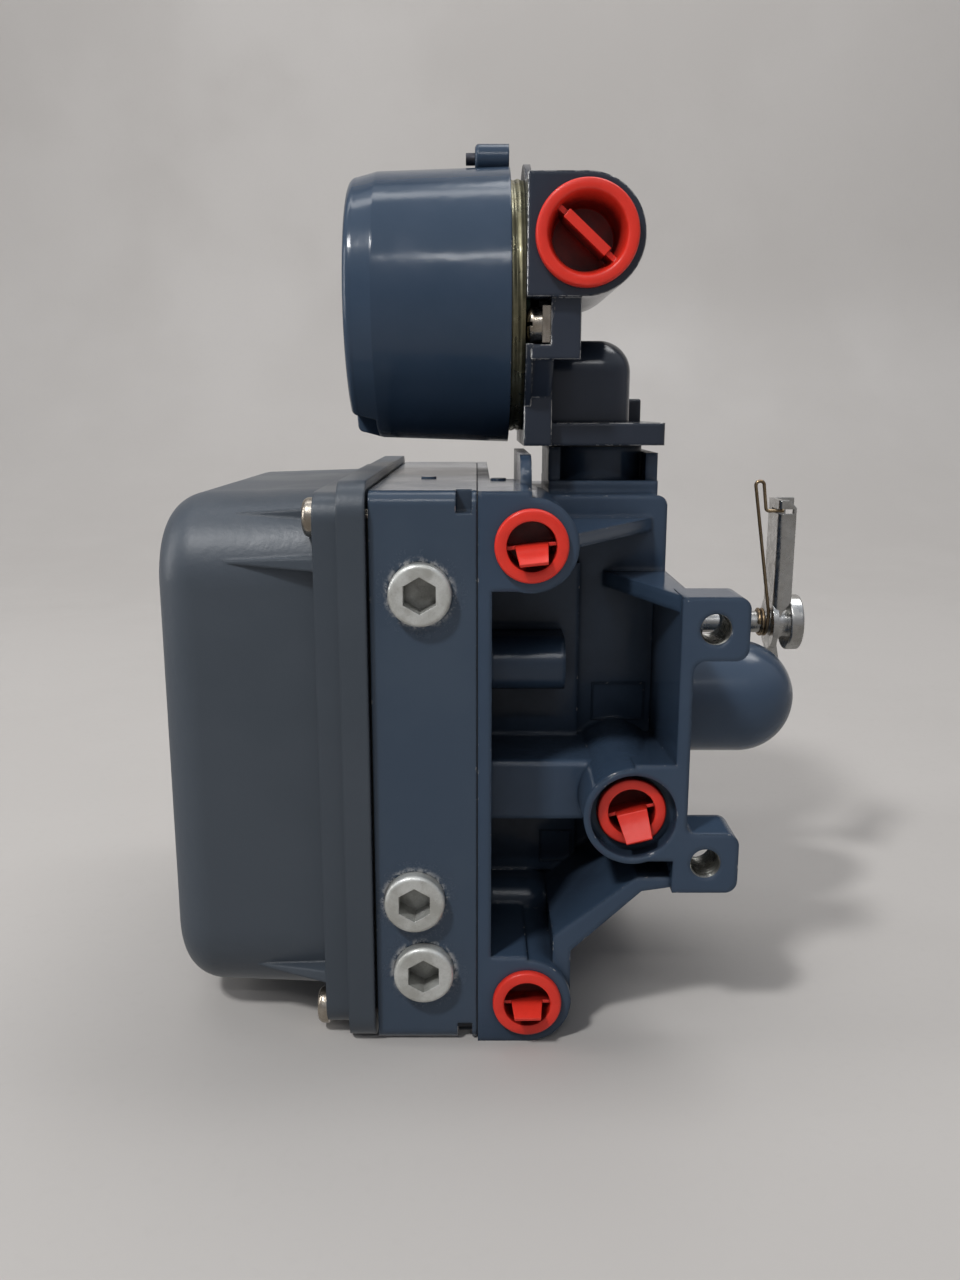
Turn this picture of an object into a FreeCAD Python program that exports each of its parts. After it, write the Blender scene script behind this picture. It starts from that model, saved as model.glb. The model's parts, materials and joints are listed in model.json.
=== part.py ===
import FreeCAD, Part
import math
import os

# Electro-pneumatic valve positioner, in millimetres.
# X runs from the front cover (minus) to the feedback lever (plus), with X = 0 at the joint
# between the case and the manifold. Y = 0 is the middle of the case and the air ports open
# towards -Y. Z is up, and Z = 0 is the face that the positioner stands on.

V = FreeCAD.Vector

# Clearances and fits
running_fit = 0.05          # radial gap of a shaft, spool or screw in its own bore
air_gap = 0.3               # gap between faces that pass each other
screw_clearance = 0.2       # radial gap round a screw in its clearance hole

# Case: the open box that carries the balance mechanism
case_width = 131.0
case_height = 128.0
case_depth = 22.9
case_wall = 5.0
case_floor = 4.0
case_end_wall = 6.0         # at the top and at the bottom
port_wall = 17.0            # the wall on the port side is thick enough for the gauge ports
case_corner_r = 3.0
cavity_corner_r = 6.0
notch_width = 3.4           # pry notches in the port side's corners
notch_height = 4.6
notch_depth = 6.0
notch_offset = 1.0          # from the joint plane

# Front cover, its two-step rim and its seal
seal_thickness = 0.6        # the rim all but touches the case
seal_inset = 3.0
seal_width = 5.0
lip_overhang = 2.0          # how far the rim stands out past the case, at the sides and the top
lip_thickness = 6.0
lip_corner_r = 7.0
flange_step = 2.5           # the inner step of the rim is smaller than the outer one by this
flange_thickness = 5.5
dome_depth = 37.0
dome_side_inset = 7.0       # from the lip's side faces
dome_top_inset = 3.0
dome_bottom_inset = 4.0
dome_corner_r = 20.0
dome_front_r = 10.0
dome_draft = 1.2            # how much narrower each side is at the front
cover_wall = 3.0
rib_thickness = 3.0
rib_tip = 0.5
long_rib_length = 22.0
short_rib_length = 18.5
rib_from_top = 17.8         # the long rib, below the top of the lip
short_rib_from_top = 8.0
rib_from_bottom = 15.5
rib_edge_inset = 1.0        # the ribs end this far inside the flange's side face

# Cover screws
cover_screw_inset = 6.0     # from the case's outer faces
cover_screw_r = 2.0
cover_screw_reach = 12.0    # into the case
cover_head_r = 4.3
cover_head_height = 2.5
slot_width = 1.0
slot_depth = 1.2

# Threaded gauge plugs on the port side
plug_r = 6.85
plug_length = 14.0
plug_stand_out = 3.0
plug_hex = 7.0              # across flats
plug_hex_turn = 30          # degrees
plug_socket_depth = 6.0
plug_edge = 1.0
top_gauge_drop = 21.8       # of the top gauge port below the case's top
gauge_plug_places = ((-12.1, case_height - top_gauge_drop), (-14.0, 35.6), (-12.1, 18.1))

# Joint between case and manifold
joint_seal = 0.3
joint_seal_inset = 0.2
case_screw_r = 2.5
case_screw_head_r = 4.2
case_screw_head = 4.0
case_screw_inset_y = 14.0   # from the cavity's side walls
case_screw_inset_z = 13.0
case_screw_reach = 2.4      # into the sealing plate
low_screw_drop = 6.0        # the near low screw sits below its corner's place
low_screw_rise = 20.0       # and the far one above it, clear of the relay

# Manifold casting
plate_thickness = 3.0       # the plate that seals against the case
port_boss_r = 10.2
port_boss_gap = 1.2         # between the joint and a port boss
top_port_drop = 11.5        # of the top port's axis below the case's top
output_block_height = 21.3
supply_x = 35.2
supply_z = 55.6
supply_boss_r = 11.2
supply_recess_r = 9.7
supply_recess_depth = 4.5
port_bore_r = 6.6
port_bore_depth = 14.0
pocket_depth = 40.0         # from the port faces to the pocket's floor
core_width = 55.0
core_back = 47.2            # the core's rear face
core_top_drop = 4.0
core_wall = 4.0
core_base = 4.0             # lower edge of the core above the foot plane
core_corner_r = 2.5
core_slope_start = 22.0
core_slope_top = 24.0
column_thickness = 2.8
web_thickness = 2.5
shelf_drop = 0.15           # of the shelf below the upper lug's top
shelf_thickness = 3.7
shelf_reach = 16.0          # of the shelf along the pocket's floor, from the core's rear face
gusset_rise = 2.0           # of the gusset above the top port's axis
gusset_thickness = 3.0
gusset_end = 43.6
gusset_inset = 2.0          # of the gusset's front edge behind the port faces, at the boss
upper_duct_r = 6.5
upper_duct_z = 84.6
upper_duct_end = 21.2
upper_duct_depth = 28.0     # of its axis behind the port faces
lower_duct_r = 6.2
lower_duct_z = 20.3
lower_duct_end = 13.0       # where its round end begins
lower_duct_depth = 34.0
supply_rib_below = 6.6      # the supply's duct is a square rib, this far below the port's axis
supply_rib_above = 7.8
supply_rib_depth = 16.0     # of its front face behind the port faces
supply_rib_edge_r = 1.5
panel_end = 25.6            # raised panel on the pocket's floor
panel_height = 3.0
bridge_above = 12.1         # solid bridge behind the supply port, this far above the port's axis
bridge_above_back = 7.9     # its top slopes down to the pocket's floor
bridge_below = 10.6
brace_foot_x = 17.8         # inner face of the brace's upright foot beside the low boss
brace_foot_top = 25.0
brace_bend_x = 38.0         # where the sloping brace turns upright
pip_r = 1.9                 # two small round marks on the top
pip_height = 0.4
case_pip = (-11.9, -20.8)
block_pip_x = 5.3
block_pip_setback = 2.0     # in front of the pocket's floor

# Mounting lugs
lug_x = 51.7
lug_half_width = 7.4
lug_half_height = 7.05
lug_thickness = 12.0
lug_corner_r = 2.8
upper_lug_fillet = 2.7      # in the corner under the upper lug
lower_lug_fillet = 1.8      # in the corner above the lower lug
lug_hole_r = 3.45
lower_lug_z = 44.4
lug_spacing = 54.0

# Rounded tower at the back of the casting
tower_y = -12.0
tower_z = 69.6
tower_r = 14.9
tower_tip = 84.6
tower_wall = 3.0

# Bracket tab on the top of the casting
tab_x = 10.2
tab_thickness = 2.6
tab_height = 6.4
tab_start = 24.0            # from the port faces
tab_length = 46.0
tab_corner_r = 6.0

# Neck and electro-pneumatic converter
neck_x = 31.5
neck_r = 12.5
neck_plate_inset = 0.9      # of the rear plate inside the core's rear face
neck_plate_thickness = 3.0
neck_half_width = 14.0
neck_front = 18.4
neck_foot = 3.0
neck_bore_r = 4.0
neck_foot_margin = 2.0      # of the foot past the end plates
neck_rear_drop = 1.5        # of the rear plate below the neck's top
neck_height = 8.0           # from the case's top to the converter's base flange
base_inset = 0.2            # of the flange inside the core's rear face
base_near = -20.5
base_far = 21.0
base_flange = 5.5
base_seal = 0.6
bonnet_length = 20.8        # from the terminal housing's plate
bonnet_near = -17.0
bonnet_far = 9.0
bonnet_height = 20.3
bonnet_round_r = 8.0
bonnet_wall = 2.5
base_screw_r = 3.0
base_screw_head_r = 5.0
base_screw_head = 6.0
base_screw_hex = 5.0
base_screw_reach = 12.0
base_screw_edge = 0.7
base_corner_r = 1.5
base_screw_offsets = ((12.8, -8.2), (6.1, 14.9), (18.2, 14.9))   # behind the terminal housing's plate

# Parts of the electro-pneumatic converter, inside the bonnet
motor_y = 1.2
motor_offset = 0.6          # of the yoke from the housing's plate
yoke_width = 10.0
yoke_height = 13.0
yoke_thickness = 1.5
yoke_depth = 6.5
coil_r = 3.4
coil_bore_r = 1.9
coil_length = 5.5
coil_centre = 8.0           # above the base flange
armature_thickness = 1.2
armature_width = 2.8
armature_setback = 0.5      # of its end inside the yoke's face
armature_end_gap = 1.5      # between its far end and the bonnet
pivot_offset = 1.4          # of the pivot bar from the yoke
pivot_span = 3.4
pivot_post_half = 0.8       # half the thickness of a pivot post
pivot_post_reach = 1.0
pivot_post_rise = 1.5       # above the pivot bar's axis
nozzle_offset = 2.0         # of the nozzle from the neck's axis
nozzle_r = 2.0
nozzle_bore_r = 0.6
nozzle_gap = 0.3

# Terminal housing and its threaded cap
disc_sink = 0.1             # of the plate's rim below the base flange's underside
disc_front = 11.6
disc_thickness = 6.8
disc_overhang = 0.5         # of the plate's thin front rim past the cap's mouth
disc_rim = 1.6
disc_body_inset = 1.0       # of the plate's body inside the cap's mouth
disc_edge_r = 1.2
foot_half_width = 24.0
disc_wall = 3.4
collar_r = 31.2
collar_wall = 5.7
collar_length = 17.6
cap_mouth = 8.2             # where the cap's open end stands at rest
cap_length = 39.7
cap_wall = 2.8              # at the mouth, over the collar
cap_crease_inset = 1.1      # of the crease inside the mouth's radius
cap_front_inset = 2.4
cap_crease_length = 6.9     # of the steeper band at the front
cap_bulge = 1.6
cap_edge_r = 2.0
cap_front_wall = 4.5
cap_notch_depth = 6.0
cap_notch_wall = 2.5
cap_notch_length = 6.2
cap_notch_width = 16.0
cap_notch_angle = 16.0      # from straight down, towards the ports
cap_ring_r = 1.0            # section radius of the cap's sealing ring
cap_ring_inset = 1.2        # of the ring inside the collar's outer face
lock_boss_r = 3.6
lock_boss_edge = 1.0
lock_boss_length = 8.6
lock_boss_rise = 2.4        # of the boss's axis past the cap's mouth radius
lock_screw_r = 1.5
lock_screw_stand_out = 2.3
lock_hex = 1.5
lock_socket = 2.0

# Conduit barrel
barrel_drop = 12.2          # of the barrel's axis below the terminal chamber's top
barrel_r = 13.5
barrel_lead = 0.3           # of the barrel's mouth past the plate's rim
barrel_end = 14.0
conduit_bore_r = 10.4
conduit_bore_depth = 38.0
wire_hole_r = 6.5

# External ground terminal
ground_clearance = 2.0      # of the screw's axis past the terminal chamber
ground_drop = 5.9           # of the screw's axis below the foot of the conduit barrel
ground_block_inset = 5.8    # of the block behind the plate's front
ground_block_length = 7.0
ground_block_width = 10.0
ground_block_drop = 8.0     # of the block's underside below the screw
ground_ledge = 3.3
ground_ledge_setback = 1.2
ground_screw_r = 1.95
ground_head_r = 4.2
ground_head_height = 3.5
ground_head_edge = 1.5
ground_screw_spare = 1.5    # between the screw's tip and the block's back
niche_margin = 2.0          # of the terminal's niche past the block, on the port side
niche_far_margin = 1.0
ground_washer = 8.4
ground_washer_thickness = 1.0
ground_washer_count = 2

# Terminal block, circuit board and their screws
block_width = 30.0
block_height = 11.0
block_depth = 8.0
block_drop = 3.0
terminal_count = 3
terminal_pitch = 9.0
terminal_screw_r = 2.6
terminal_screw_height = 2.0
terminal_slot = 0.8
well_margin = 0.6           # of a screw's well round its head
well_end = 1.5
board_clearance = 3.5       # of the board inside the chamber
board_thickness = 1.6
board_lift = 2.0
spacer_r = 2.2
spacer_places = ((-14, -12), (14, -12), (-17, 4), (17, 4))   # from the chamber's axis

# Moulded shipping plugs
air_plug_flange_r = 7.95
air_plug_flange = 1.7
air_plug_fit = 0.1
air_plug_stem = 9.0
air_plug_wall = 1.6
conduit_plug_flange_r = 11.75
conduit_plug_flange = 3.0
conduit_plug_fit = 0.2
conduit_plug_stem = 12.0
conduit_plug_wall = 2.45
plug_floor = 1.2
bar_width = 1.3
bar_root = 0.5              # of the bar into the opening's wall
conduit_bar_angle = 42
supply_tab_angle = 12
upper_tab_angle = -3
lower_tab_angle = -4
pull_tab_width = 5.6
pull_tab_length = 5.6
pull_tab_thickness = 1.0
pull_tab_rise = 0.2         # of the tab above the flange's face
pull_tab_taper = 0.8

# Feedback shaft, lever and its wire spring
shaft_y = 4.0
shaft_z = 86.5
shaft_r = 3.0
shaft_front_tip = 3.5       # past the cam's nut
shaft_back_tip = 1.1        # past the lever's nut
shaft_boss_wall = 2.9
shaft_boss_end = 60.0
bushing_wall = 1.6
bushing_length = 8.0
bushing_collar = 1.2
bushing_collar_width = 1.4
shaft_ring_width = 1.6      # snap ring beside the outer bushing
shaft_ring = 1.2
lever_x = 81.5
lever_sheet = 1.5
lever_half_width = 6.0
lever_height = 34.3         # above the shaft
lever_foot_r = 7.4
near_flange_depth = 4.7
far_flange_depth = 6.9
far_flange_start = 9.2
flange_start = 6.7          # above the shaft
far_notch_low = 25.5
far_notch_high = 31.0
far_notch_depth = 2.2
lever_bend_r = 1.5          # outer radius of the sheet's bends
lever_top_r = 0.9
near_flange_chamfer = 2.0
tail_start = 1.0            # above the foot of the far flange
tail_drop = 16.0
tail_width = 3.0
hub_clearance = 0.2         # between the hub and the lever's flanges
hub_length = 3.2
lever_nut_r = 7.7
lever_nut_length = 3.7
lever_nut_edge = 0.6
wire_r = 0.45
wire_out = 6.2              # how far the wire's loop stands off the lever's web
wire_loop_rise = 39.3
wire_hook_rise = 31.3
wire_step = 2.9
wire_slot = 1.3             # height of the slot that the hook lies in
wire_slot_depth = 4.0
wire_turns = 2
wire_pitch = 1.1
wire_leg_bend_r = 8.0       # where the leg leaves the coil
wire_leg_bend_rise = 3.0
wire_loop_width = 2.3
wire_loop_r = 1.05
wire_hook_r = 0.9

# Feedback cam on the shaft's inner end
mech_x = -22.0              # plane of the arms
cam_thickness = 3.0
cam_start_r = 20.0
cam_rise_per_rad = 5.0
cam_reach = 36.0            # degrees of profile each way
cam_relief_r = 12.0
cam_hub_r = 6.0
cam_hub_length = 6.0
cam_clearance = 0.12
cam_steps = 10
cam_nut_length = 3.5
cam_nut_width = 2.6         # from the shaft to the nut's corners
cam_window_r = 2.4
cam_window_drop = 12.0
arm_gap = 1.0               # between the cam and the arms

# Follower arm
roller_r = 4.0
roller_bore_r = 1.55
roller_length = 3.6
roller_pin_end = 1.5        # of the roller's pin past the cam's plane
roller_pin_head = 1.0
roller_pin_head_width = 0.9
follower_wall_gap = 17.5    # between the arm's pivot boss and the far wall
arm_thickness = 2.0
arm_height = 7.0
arm_boss_r = 5.0
pivot_pin_r = 2.0
pivot_head_r = 3.2
pivot_head = 1.6
span_y = -22.0              # where the range spring works
span_head_r = 3.8
span_head_height = 5.0
span_thread_r = 1.5
span_pad_r = 4.0            # boss in the arm that the adjuster is threaded through
arm_end = 2.0               # of the arm past the adjuster's axis

# Balance beam and what it works
beam_z = 34.0
beam_pivot_y = 4.0
beam_height = 6.0
beam_left_end = 5.0         # of the beam past the zero spring's axis
beam_right_end = 6.0        # and past the relay spool's axis
capsule_wall_gap = 8.5      # between the capsule and the port side's wall
capsule_r = 12.0
capsule_height = 9.0
capsule_rim = 2.0
capsule_lift = 6.0          # of the capsule's floor above the cavity's wall
capsule_body_inset = 2.0    # of the body inside its rim
capsule_foot = 2.0
capsule_bracket_half = 5.0
capsule_bore_start = 1.5
rod_r = 2.0
rod_start = 3.5             # of the rod above the capsule's floor
rod_head_width = 1.2
rod_head = 1.2
beam_button = 1.0           # height of the beam's pads over rod and spool
beam_button_width = 0.5
relay_wall_gap = 13.5       # between the relay and the far wall
relay_half_width = 13.0
relay_lift = 3.5            # above the cavity's wall
relay_front = -31.0
relay_edge_r = 1.5
relay_screw_r = 2.8
relay_screw_head = 2.2
relay_socket_r = 1.4
relay_socket = 1.2
relay_screw_inset_y = 4.0
relay_screw_inset_z = 4.5
spool_r = 3.0
spool_start = 1.0
spool_groove_start = 5.0
spool_groove_pitch = 6.0
spool_groove = 3.0
spool_groove_depth = 0.9
relay_gap = 2.5             # between relay body and beam
zero_wall_gap = 3.5         # between the zero knob and the port side's wall
zero_bracket_z = 66.0
zero_bracket_thickness = 3.0
zero_foot = 2.5
zero_foot_height = 16.0
zero_thread_r = 2.0
zero_head_r = 6.0
zero_head_height = 8.0
knob_flutes = 12
flute_r = 0.7

# Coil springs
spring_wire_r = 0.6
range_spring_r = 3.4
range_spring_turns = 6
zero_spring_r = 3.0
zero_spring_turns = 7
spring_pad_r = 4.6
spring_pad = 1.5
zero_pad_inset = 0.4        # the zero adjuster's seat is a little smaller

# Derived places
port_y = -case_width / 2
far_y = case_width / 2
case_front = -case_depth
lip_back = case_front - seal_thickness
lip_front = lip_back - lip_thickness
flange_front = lip_front - flange_thickness
dome_front = flange_front - dome_depth
lip_top = case_height + lip_overhang
manifold_front = joint_seal
port_boss_x = manifold_front + port_boss_gap + port_boss_r
plate_back = manifold_front + plate_thickness
pocket_y = port_y + pocket_depth
core_far = pocket_y + core_width
core_top = case_height - core_top_drop
top_port_z = case_height - top_port_drop
upper_lug_z = lower_lug_z + lug_spacing
shelf_top = upper_lug_z + lug_half_height - shelf_drop
gusset_top = top_port_z + gusset_rise
panel_bottom = lower_duct_z + lower_duct_r
neck_plate_back = core_back - neck_plate_inset
base_back = core_back - base_inset
base_z = case_height + neck_height
base_top = base_z + base_flange
nozzle_x = neck_x + nozzle_offset
disc_back = disc_front + disc_thickness
bonnet_back = disc_back + bonnet_length
chamber_r = collar_r - collar_wall
cap_mouth_r = collar_r + cap_wall
cap_crease_r = cap_mouth_r - cap_crease_inset
cap_front_r = cap_mouth_r - cap_front_inset
cap_front = cap_mouth - cap_length
disc_r = cap_mouth_r + disc_overhang
terminal_z = base_z + disc_r - disc_sink
base_screw_places = [(disc_back + x, y) for x, y in base_screw_offsets]
disc_body_r = cap_mouth_r - disc_body_inset
barrel_x = disc_front + barrel_r
barrel_start = -disc_r - barrel_lead
barrel_z = terminal_z + chamber_r - barrel_drop
ground_y = -chamber_r - ground_clearance
ground_z = barrel_z - barrel_r - ground_drop
ground_block_x = disc_front + ground_block_inset
ground_block_bottom = ground_z - ground_block_drop
board_r = chamber_r - board_clearance
air_plug_stem_r = port_bore_r - air_plug_fit
air_plug_opening_r = air_plug_stem_r - air_plug_wall
conduit_plug_stem_r = conduit_bore_r - conduit_plug_fit
conduit_plug_opening_r = conduit_plug_stem_r - conduit_plug_wall
bushing_r = shaft_r + bushing_wall
shaft_boss_r = bushing_r + shaft_boss_wall
hub_r = lever_half_width - lever_sheet - hub_clearance
hub_end = lever_x + lever_sheet + hub_length
shaft_front = mech_x - cam_thickness / 2 - cam_nut_length - shaft_front_tip
shaft_back = hub_end + lever_nut_length + shaft_back_tip
wire_coil_r = shaft_r + wire_r + running_fit
floor_x = -case_floor
pivot_pin_end = floor_x + case_floor / 2
roller_z = shaft_z - cam_start_r - roller_r - cam_clearance
follower_pivot_y = far_y - case_wall - follower_wall_gap - arm_boss_r
follower_arm_y = follower_pivot_y - shaft_y
follower_ratio = cam_rise_per_rad / follower_arm_y
beam_top = beam_z + beam_height / 2
beam_bottom = beam_z - beam_height / 2
zero_y = port_y + port_wall + zero_wall_gap + zero_head_r
capsule_y = port_y + port_wall + capsule_wall_gap + capsule_r
capsule_z = case_end_wall + capsule_lift
relay_y = far_y - case_wall - relay_wall_gap - relay_half_width
beam_left = zero_y - beam_left_end
beam_right = relay_y + beam_right_end


def box(x0, x1, y0, y1, z0, z1):
    return Part.makeBox(x1 - x0, y1 - y0, z1 - z0, V(x0, y0, z0))


def rod_x(r, x0, x1, y, z):
    return Part.makeCylinder(r, x1 - x0, V(x0, y, z), V(1, 0, 0))


def rod_y(r, y0, y1, x, z):
    return Part.makeCylinder(r, y1 - y0, V(x, y0, z), V(0, 1, 0))


def rod_z(r, z0, z1, x, y):
    return Part.makeCylinder(r, z1 - z0, V(x, y, z0), V(0, 0, 1))


def tube_x(r_out, r_in, x0, x1, y, z):
    return rod_x(r_out, x0, x1, y, z).cut(rod_x(r_in, x0, x1, y, z))


def fuse(shapes):
    return shapes[0].multiFuse(shapes[1:]).removeSplitter()


def rounded_wire(x, y0, y1, z0, z1, r):
    """A rectangle with round corners in the plane at x."""
    s = r * math.sqrt(0.5)
    corners = []
    for cy, cz, dy, dz in ((y1 - r, z0 + r, 1, -1), (y1 - r, z1 - r, 1, 1),
                           (y0 + r, z1 - r, -1, 1), (y0 + r, z0 + r, -1, -1)):
        flat = V(x, cy + dy * r, cz)
        upright = V(x, cy, cz + dz * r)
        first, last = (upright, flat) if dy * dz < 0 else (flat, upright)
        corners.append((first, V(x, cy + dy * s, cz + dz * s), last))
    edges = []
    for i, (first, middle, last) in enumerate(corners):
        edges.append(Part.Arc(first, middle, last).toShape())
        edges.append(Part.makeLine(last, corners[(i + 1) % 4][0]))
    return Part.Wire(edges)


def rounded_slab(x0, x1, y0, y1, z0, z1, r):
    """A slab with round corners, seen along X."""
    return Part.Face(rounded_wire(x0, y0, y1, z0, z1, r)).extrude(V(x1 - x0, 0, 0))


def prism_y(points, y0, y1):
    """An outline of (x, z) points, extruded along Y."""
    outline = Part.makePolygon([V(x, y0, z) for x, z in points + points[:1]])
    return Part.Face(outline).extrude(V(0, y1 - y0, 0))


def prism_z(points, z0, z1):
    """An outline of (x, y) points, extruded along Z."""
    outline = Part.makePolygon([V(x, y, z0) for x, y in points + points[:1]])
    return Part.Face(outline).extrude(V(0, 0, z1 - z0))


def prism_x(points, x0, x1):
    """An outline of (y, z) points, extruded along X."""
    outline = Part.makePolygon([V(x0, y, z) for y, z in points + points[:1]])
    return Part.Face(outline).extrude(V(x1 - x0, 0, 0))


def hexagon_points(across_flats, u, v, turn=0):
    """Corners of a hexagon about (u, v)."""
    corner = across_flats / math.sqrt(3)
    angles = [math.radians(60 * i + turn) for i in range(6)]
    return [(u + corner * math.cos(a), v + corner * math.sin(a)) for a in angles]


def edges_where(shape, test):
    return [edge for edge in shape.Edges if test(edge.BoundBox)]


def along_x(bounds):
    return bounds.YLength < 0.01 and bounds.ZLength < 0.01


def along_z(bounds):
    return bounds.XLength < 0.01 and bounds.YLength < 0.01


# Cover

def dome(inset, front, back):
    """The drafted body of the cover, smaller on every side by inset."""
    y1 = case_width / 2 + lip_overhang - dome_side_inset - inset
    z0 = dome_bottom_inset + inset
    z1 = lip_top - dome_top_inset - inset
    r = dome_corner_r - inset
    d = dome_draft
    wide = rounded_wire(back, -y1, y1, z0, z1, r)
    narrow = rounded_wire(front, -y1 + d, y1 - d, z0 + d, z1 - d, r - d / 2)
    body = Part.makeLoft([wide, narrow], True, True)
    rim = edges_where(body, lambda b: b.XMax < front + 0.01)
    return body.makeFillet(dome_front_r - inset, rim)


def dome_side(z):
    """Half the dome's width at a height, on its round corners too."""
    r = dome_corner_r
    z_top = lip_top - dome_top_inset - r
    z_low = dome_bottom_inset + r
    over = max(z - z_top, z_low - z, 0)
    return case_width / 2 + lip_overhang - dome_side_inset - r + math.sqrt(r * r - over * over)


def cover_rib(z, length, side, y_out):
    """A gusset that tapers from the flange to a point on the dome's side."""
    y_in = case_width / 2 - dome_corner_r
    y_tip = dome_side(z) - dome_draft
    tip = flange_front - length
    root = flange_front + 1.0
    t = rib_thickness / 2
    plan = [(tip, side * y_in), (root, side * y_in), (root, side * y_out),
            (flange_front, side * y_out), (tip, side * y_tip)]
    profile = [(tip, z - rib_tip / 2), (root, z - t), (root, z + t), (tip, z + rib_tip / 2)]
    wedge = prism_y(profile, -case_width, case_width)
    return wedge.common(prism_z(plan, z - rib_thickness, z + rib_thickness))


def front_cover():
    lip_y = case_width / 2 + lip_overhang
    flange_y = lip_y - flange_step
    lip = rounded_slab(lip_front, lip_back, -lip_y, lip_y, 0, lip_top, lip_corner_r)
    flange = rounded_slab(flange_front, lip_front, -flange_y, flange_y, flange_step,
                          lip_top - flange_step, lip_corner_r - 1)
    shell = fuse([lip, flange, dome(0, dome_front, flange_front + 0.5)])
    screw_side = far_y - cover_screw_inset - cover_head_r - air_gap
    ribs = []
    for side in (-1, 1):
        ribs.append(cover_rib(lip_top - rib_from_top, long_rib_length, side, flange_y - rib_edge_inset))
        ribs.append(cover_rib(lip_top - short_rib_from_top, short_rib_length, side, screw_side))
        ribs.append(cover_rib(rib_from_bottom, short_rib_length, side, flange_y - rib_edge_inset))
    shell = fuse([shell] + ribs)
    shell = shell.cut(dome(cover_wall, dome_front + cover_wall, lip_back + 0.5))
    holes = [rod_x(cover_screw_r + screw_clearance, flange_front - 1, lip_back + 1, y, z)
             for y, z in cover_screw_places()]
    return shell.cut(Part.makeCompound(holes))


def cover_screw_places():
    ys = (port_y + cover_screw_inset, far_y - cover_screw_inset)
    zs = (cover_screw_inset, case_height - cover_screw_inset)
    return [(y, z) for y in ys for z in zs]


def pan_screw(y, z):
    """A pan-head screw along X with its head towards the front."""
    shank = rod_x(cover_screw_r, flange_front, case_front + cover_screw_reach, y, z)
    head = rod_x(cover_head_r, flange_front - cover_head_height, flange_front, y, z)
    rim = edges_where(head, lambda b: b.XMax < flange_front - cover_head_height + 0.01)
    head = head.makeFillet(cover_head_height * 0.6, rim)
    x_front = flange_front - cover_head_height
    for a, b in ((slot_width / 2, 2.4), (2.4, slot_width / 2)):
        head = head.cut(box(x_front - 1, x_front + slot_depth, y - a, y + a, z - b, z + b))
    return head.fuse(shank).removeSplitter()


def cover_screws():
    return Part.makeCompound([pan_screw(y, z) for y, z in cover_screw_places()])


def cover_seal():
    y1 = case_width / 2 - seal_inset
    z0 = seal_inset
    z1 = case_height - seal_inset
    ring = rounded_slab(lip_back, case_front, -y1, y1, z0, z1, cavity_corner_r)
    hole = rounded_slab(lip_back, case_front, -y1 + seal_width, y1 - seal_width,
                        z0 + seal_width, z1 - seal_width, cavity_corner_r + cover_screw_inset)
    ring = ring.cut(hole)
    for y, z in cover_screw_places():
        ring = ring.cut(rod_x(cover_screw_r + screw_clearance, lip_back, case_front, y, z))
    return ring


# Case and what screws into it

def cavity_bounds():
    return port_y + port_wall, far_y - case_wall, case_end_wall, case_height - case_end_wall


def case_screw_places():
    y0, y1, z0, z1 = cavity_bounds()
    near = y0 + case_screw_head_r + air_gap
    far = y1 - case_screw_head_r - air_gap
    z_low = z0 + case_screw_inset_z
    z_high = z1 - case_screw_inset_z
    return [(near, z_high), (y1 - case_screw_inset_y, z_high), (near, z_low - low_screw_drop),
            (far, z_low + low_screw_rise)]


def gauge_plug(x, z):
    back = port_y - plug_stand_out + plug_length
    plug = rod_y(plug_r, port_y - plug_stand_out, back, x, z)
    rim = edges_where(plug, lambda b: b.YMax < port_y - plug_stand_out + 0.01)
    plug = plug.makeFillet(plug_edge, rim)
    face = port_y - plug_stand_out
    socket = hexagon_points(plug_hex, x, z, plug_hex_turn)
    return plug.cut(prism_y(socket, face - 1, face + plug_socket_depth))


def case_block():
    y0, y1, z0, z1 = cavity_bounds()
    body = rounded_slab(case_front, 0, port_y, far_y, 0, case_height, case_corner_r)
    body = body.cut(rounded_slab(case_front - 1, floor_x, y0, y1, z0, z1, cavity_corner_r))
    post_x = follower_x() + arm_thickness + air_gap
    posts = [rod_x(arm_boss_r, post_x, floor_x, follower_pivot_y, roller_z),
             rod_x(arm_boss_r, post_x, floor_x, beam_pivot_y, beam_z)]
    body = fuse([body, rod_z(pip_r, case_height - 1, case_height + pip_height, *case_pip)] + posts)
    cuts = [rod_x(pivot_pin_r, case_front, pivot_pin_end, follower_pivot_y, roller_z),
            rod_x(pivot_pin_r, case_front, pivot_pin_end, beam_pivot_y, beam_z),
            rod_x(bushing_r, floor_x - 1, 1, shaft_y, shaft_z)]
    for y, z in cover_screw_places():
        cuts.append(rod_x(cover_screw_r + running_fit, case_front - 1,
                          case_front + cover_screw_reach + 1, y, z))
    for y, z in case_screw_places():
        cuts.append(rod_x(case_screw_r + running_fit, floor_x - 1, 1, y, z))
    for x, z in gauge_plug_places:
        cuts.append(rod_y(plug_r + running_fit, port_y - 1, port_y - plug_stand_out + plug_length, x, z))
    for z_low, z_high in ((-1, notch_height), (case_height - notch_height, case_height + 1)):
        cuts.append(box(-notch_offset - notch_width, -notch_offset, port_y - 1,
                        port_y + notch_depth, z_low, z_high))
    return body.cut(Part.makeCompound(cuts))


def case_screws():
    screws = []
    for y, z in case_screw_places():
        head = rod_x(case_screw_head_r, floor_x - case_screw_head, floor_x, y, z)
        shank = rod_x(case_screw_r, floor_x, manifold_front + case_screw_reach, y, z)
        socket = rod_x(case_screw_r * 0.8, floor_x - case_screw_head - 1, floor_x - case_screw_head / 2, y, z)
        screws.append(head.fuse(shank).cut(socket).removeSplitter())
    return Part.makeCompound(screws)


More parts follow.
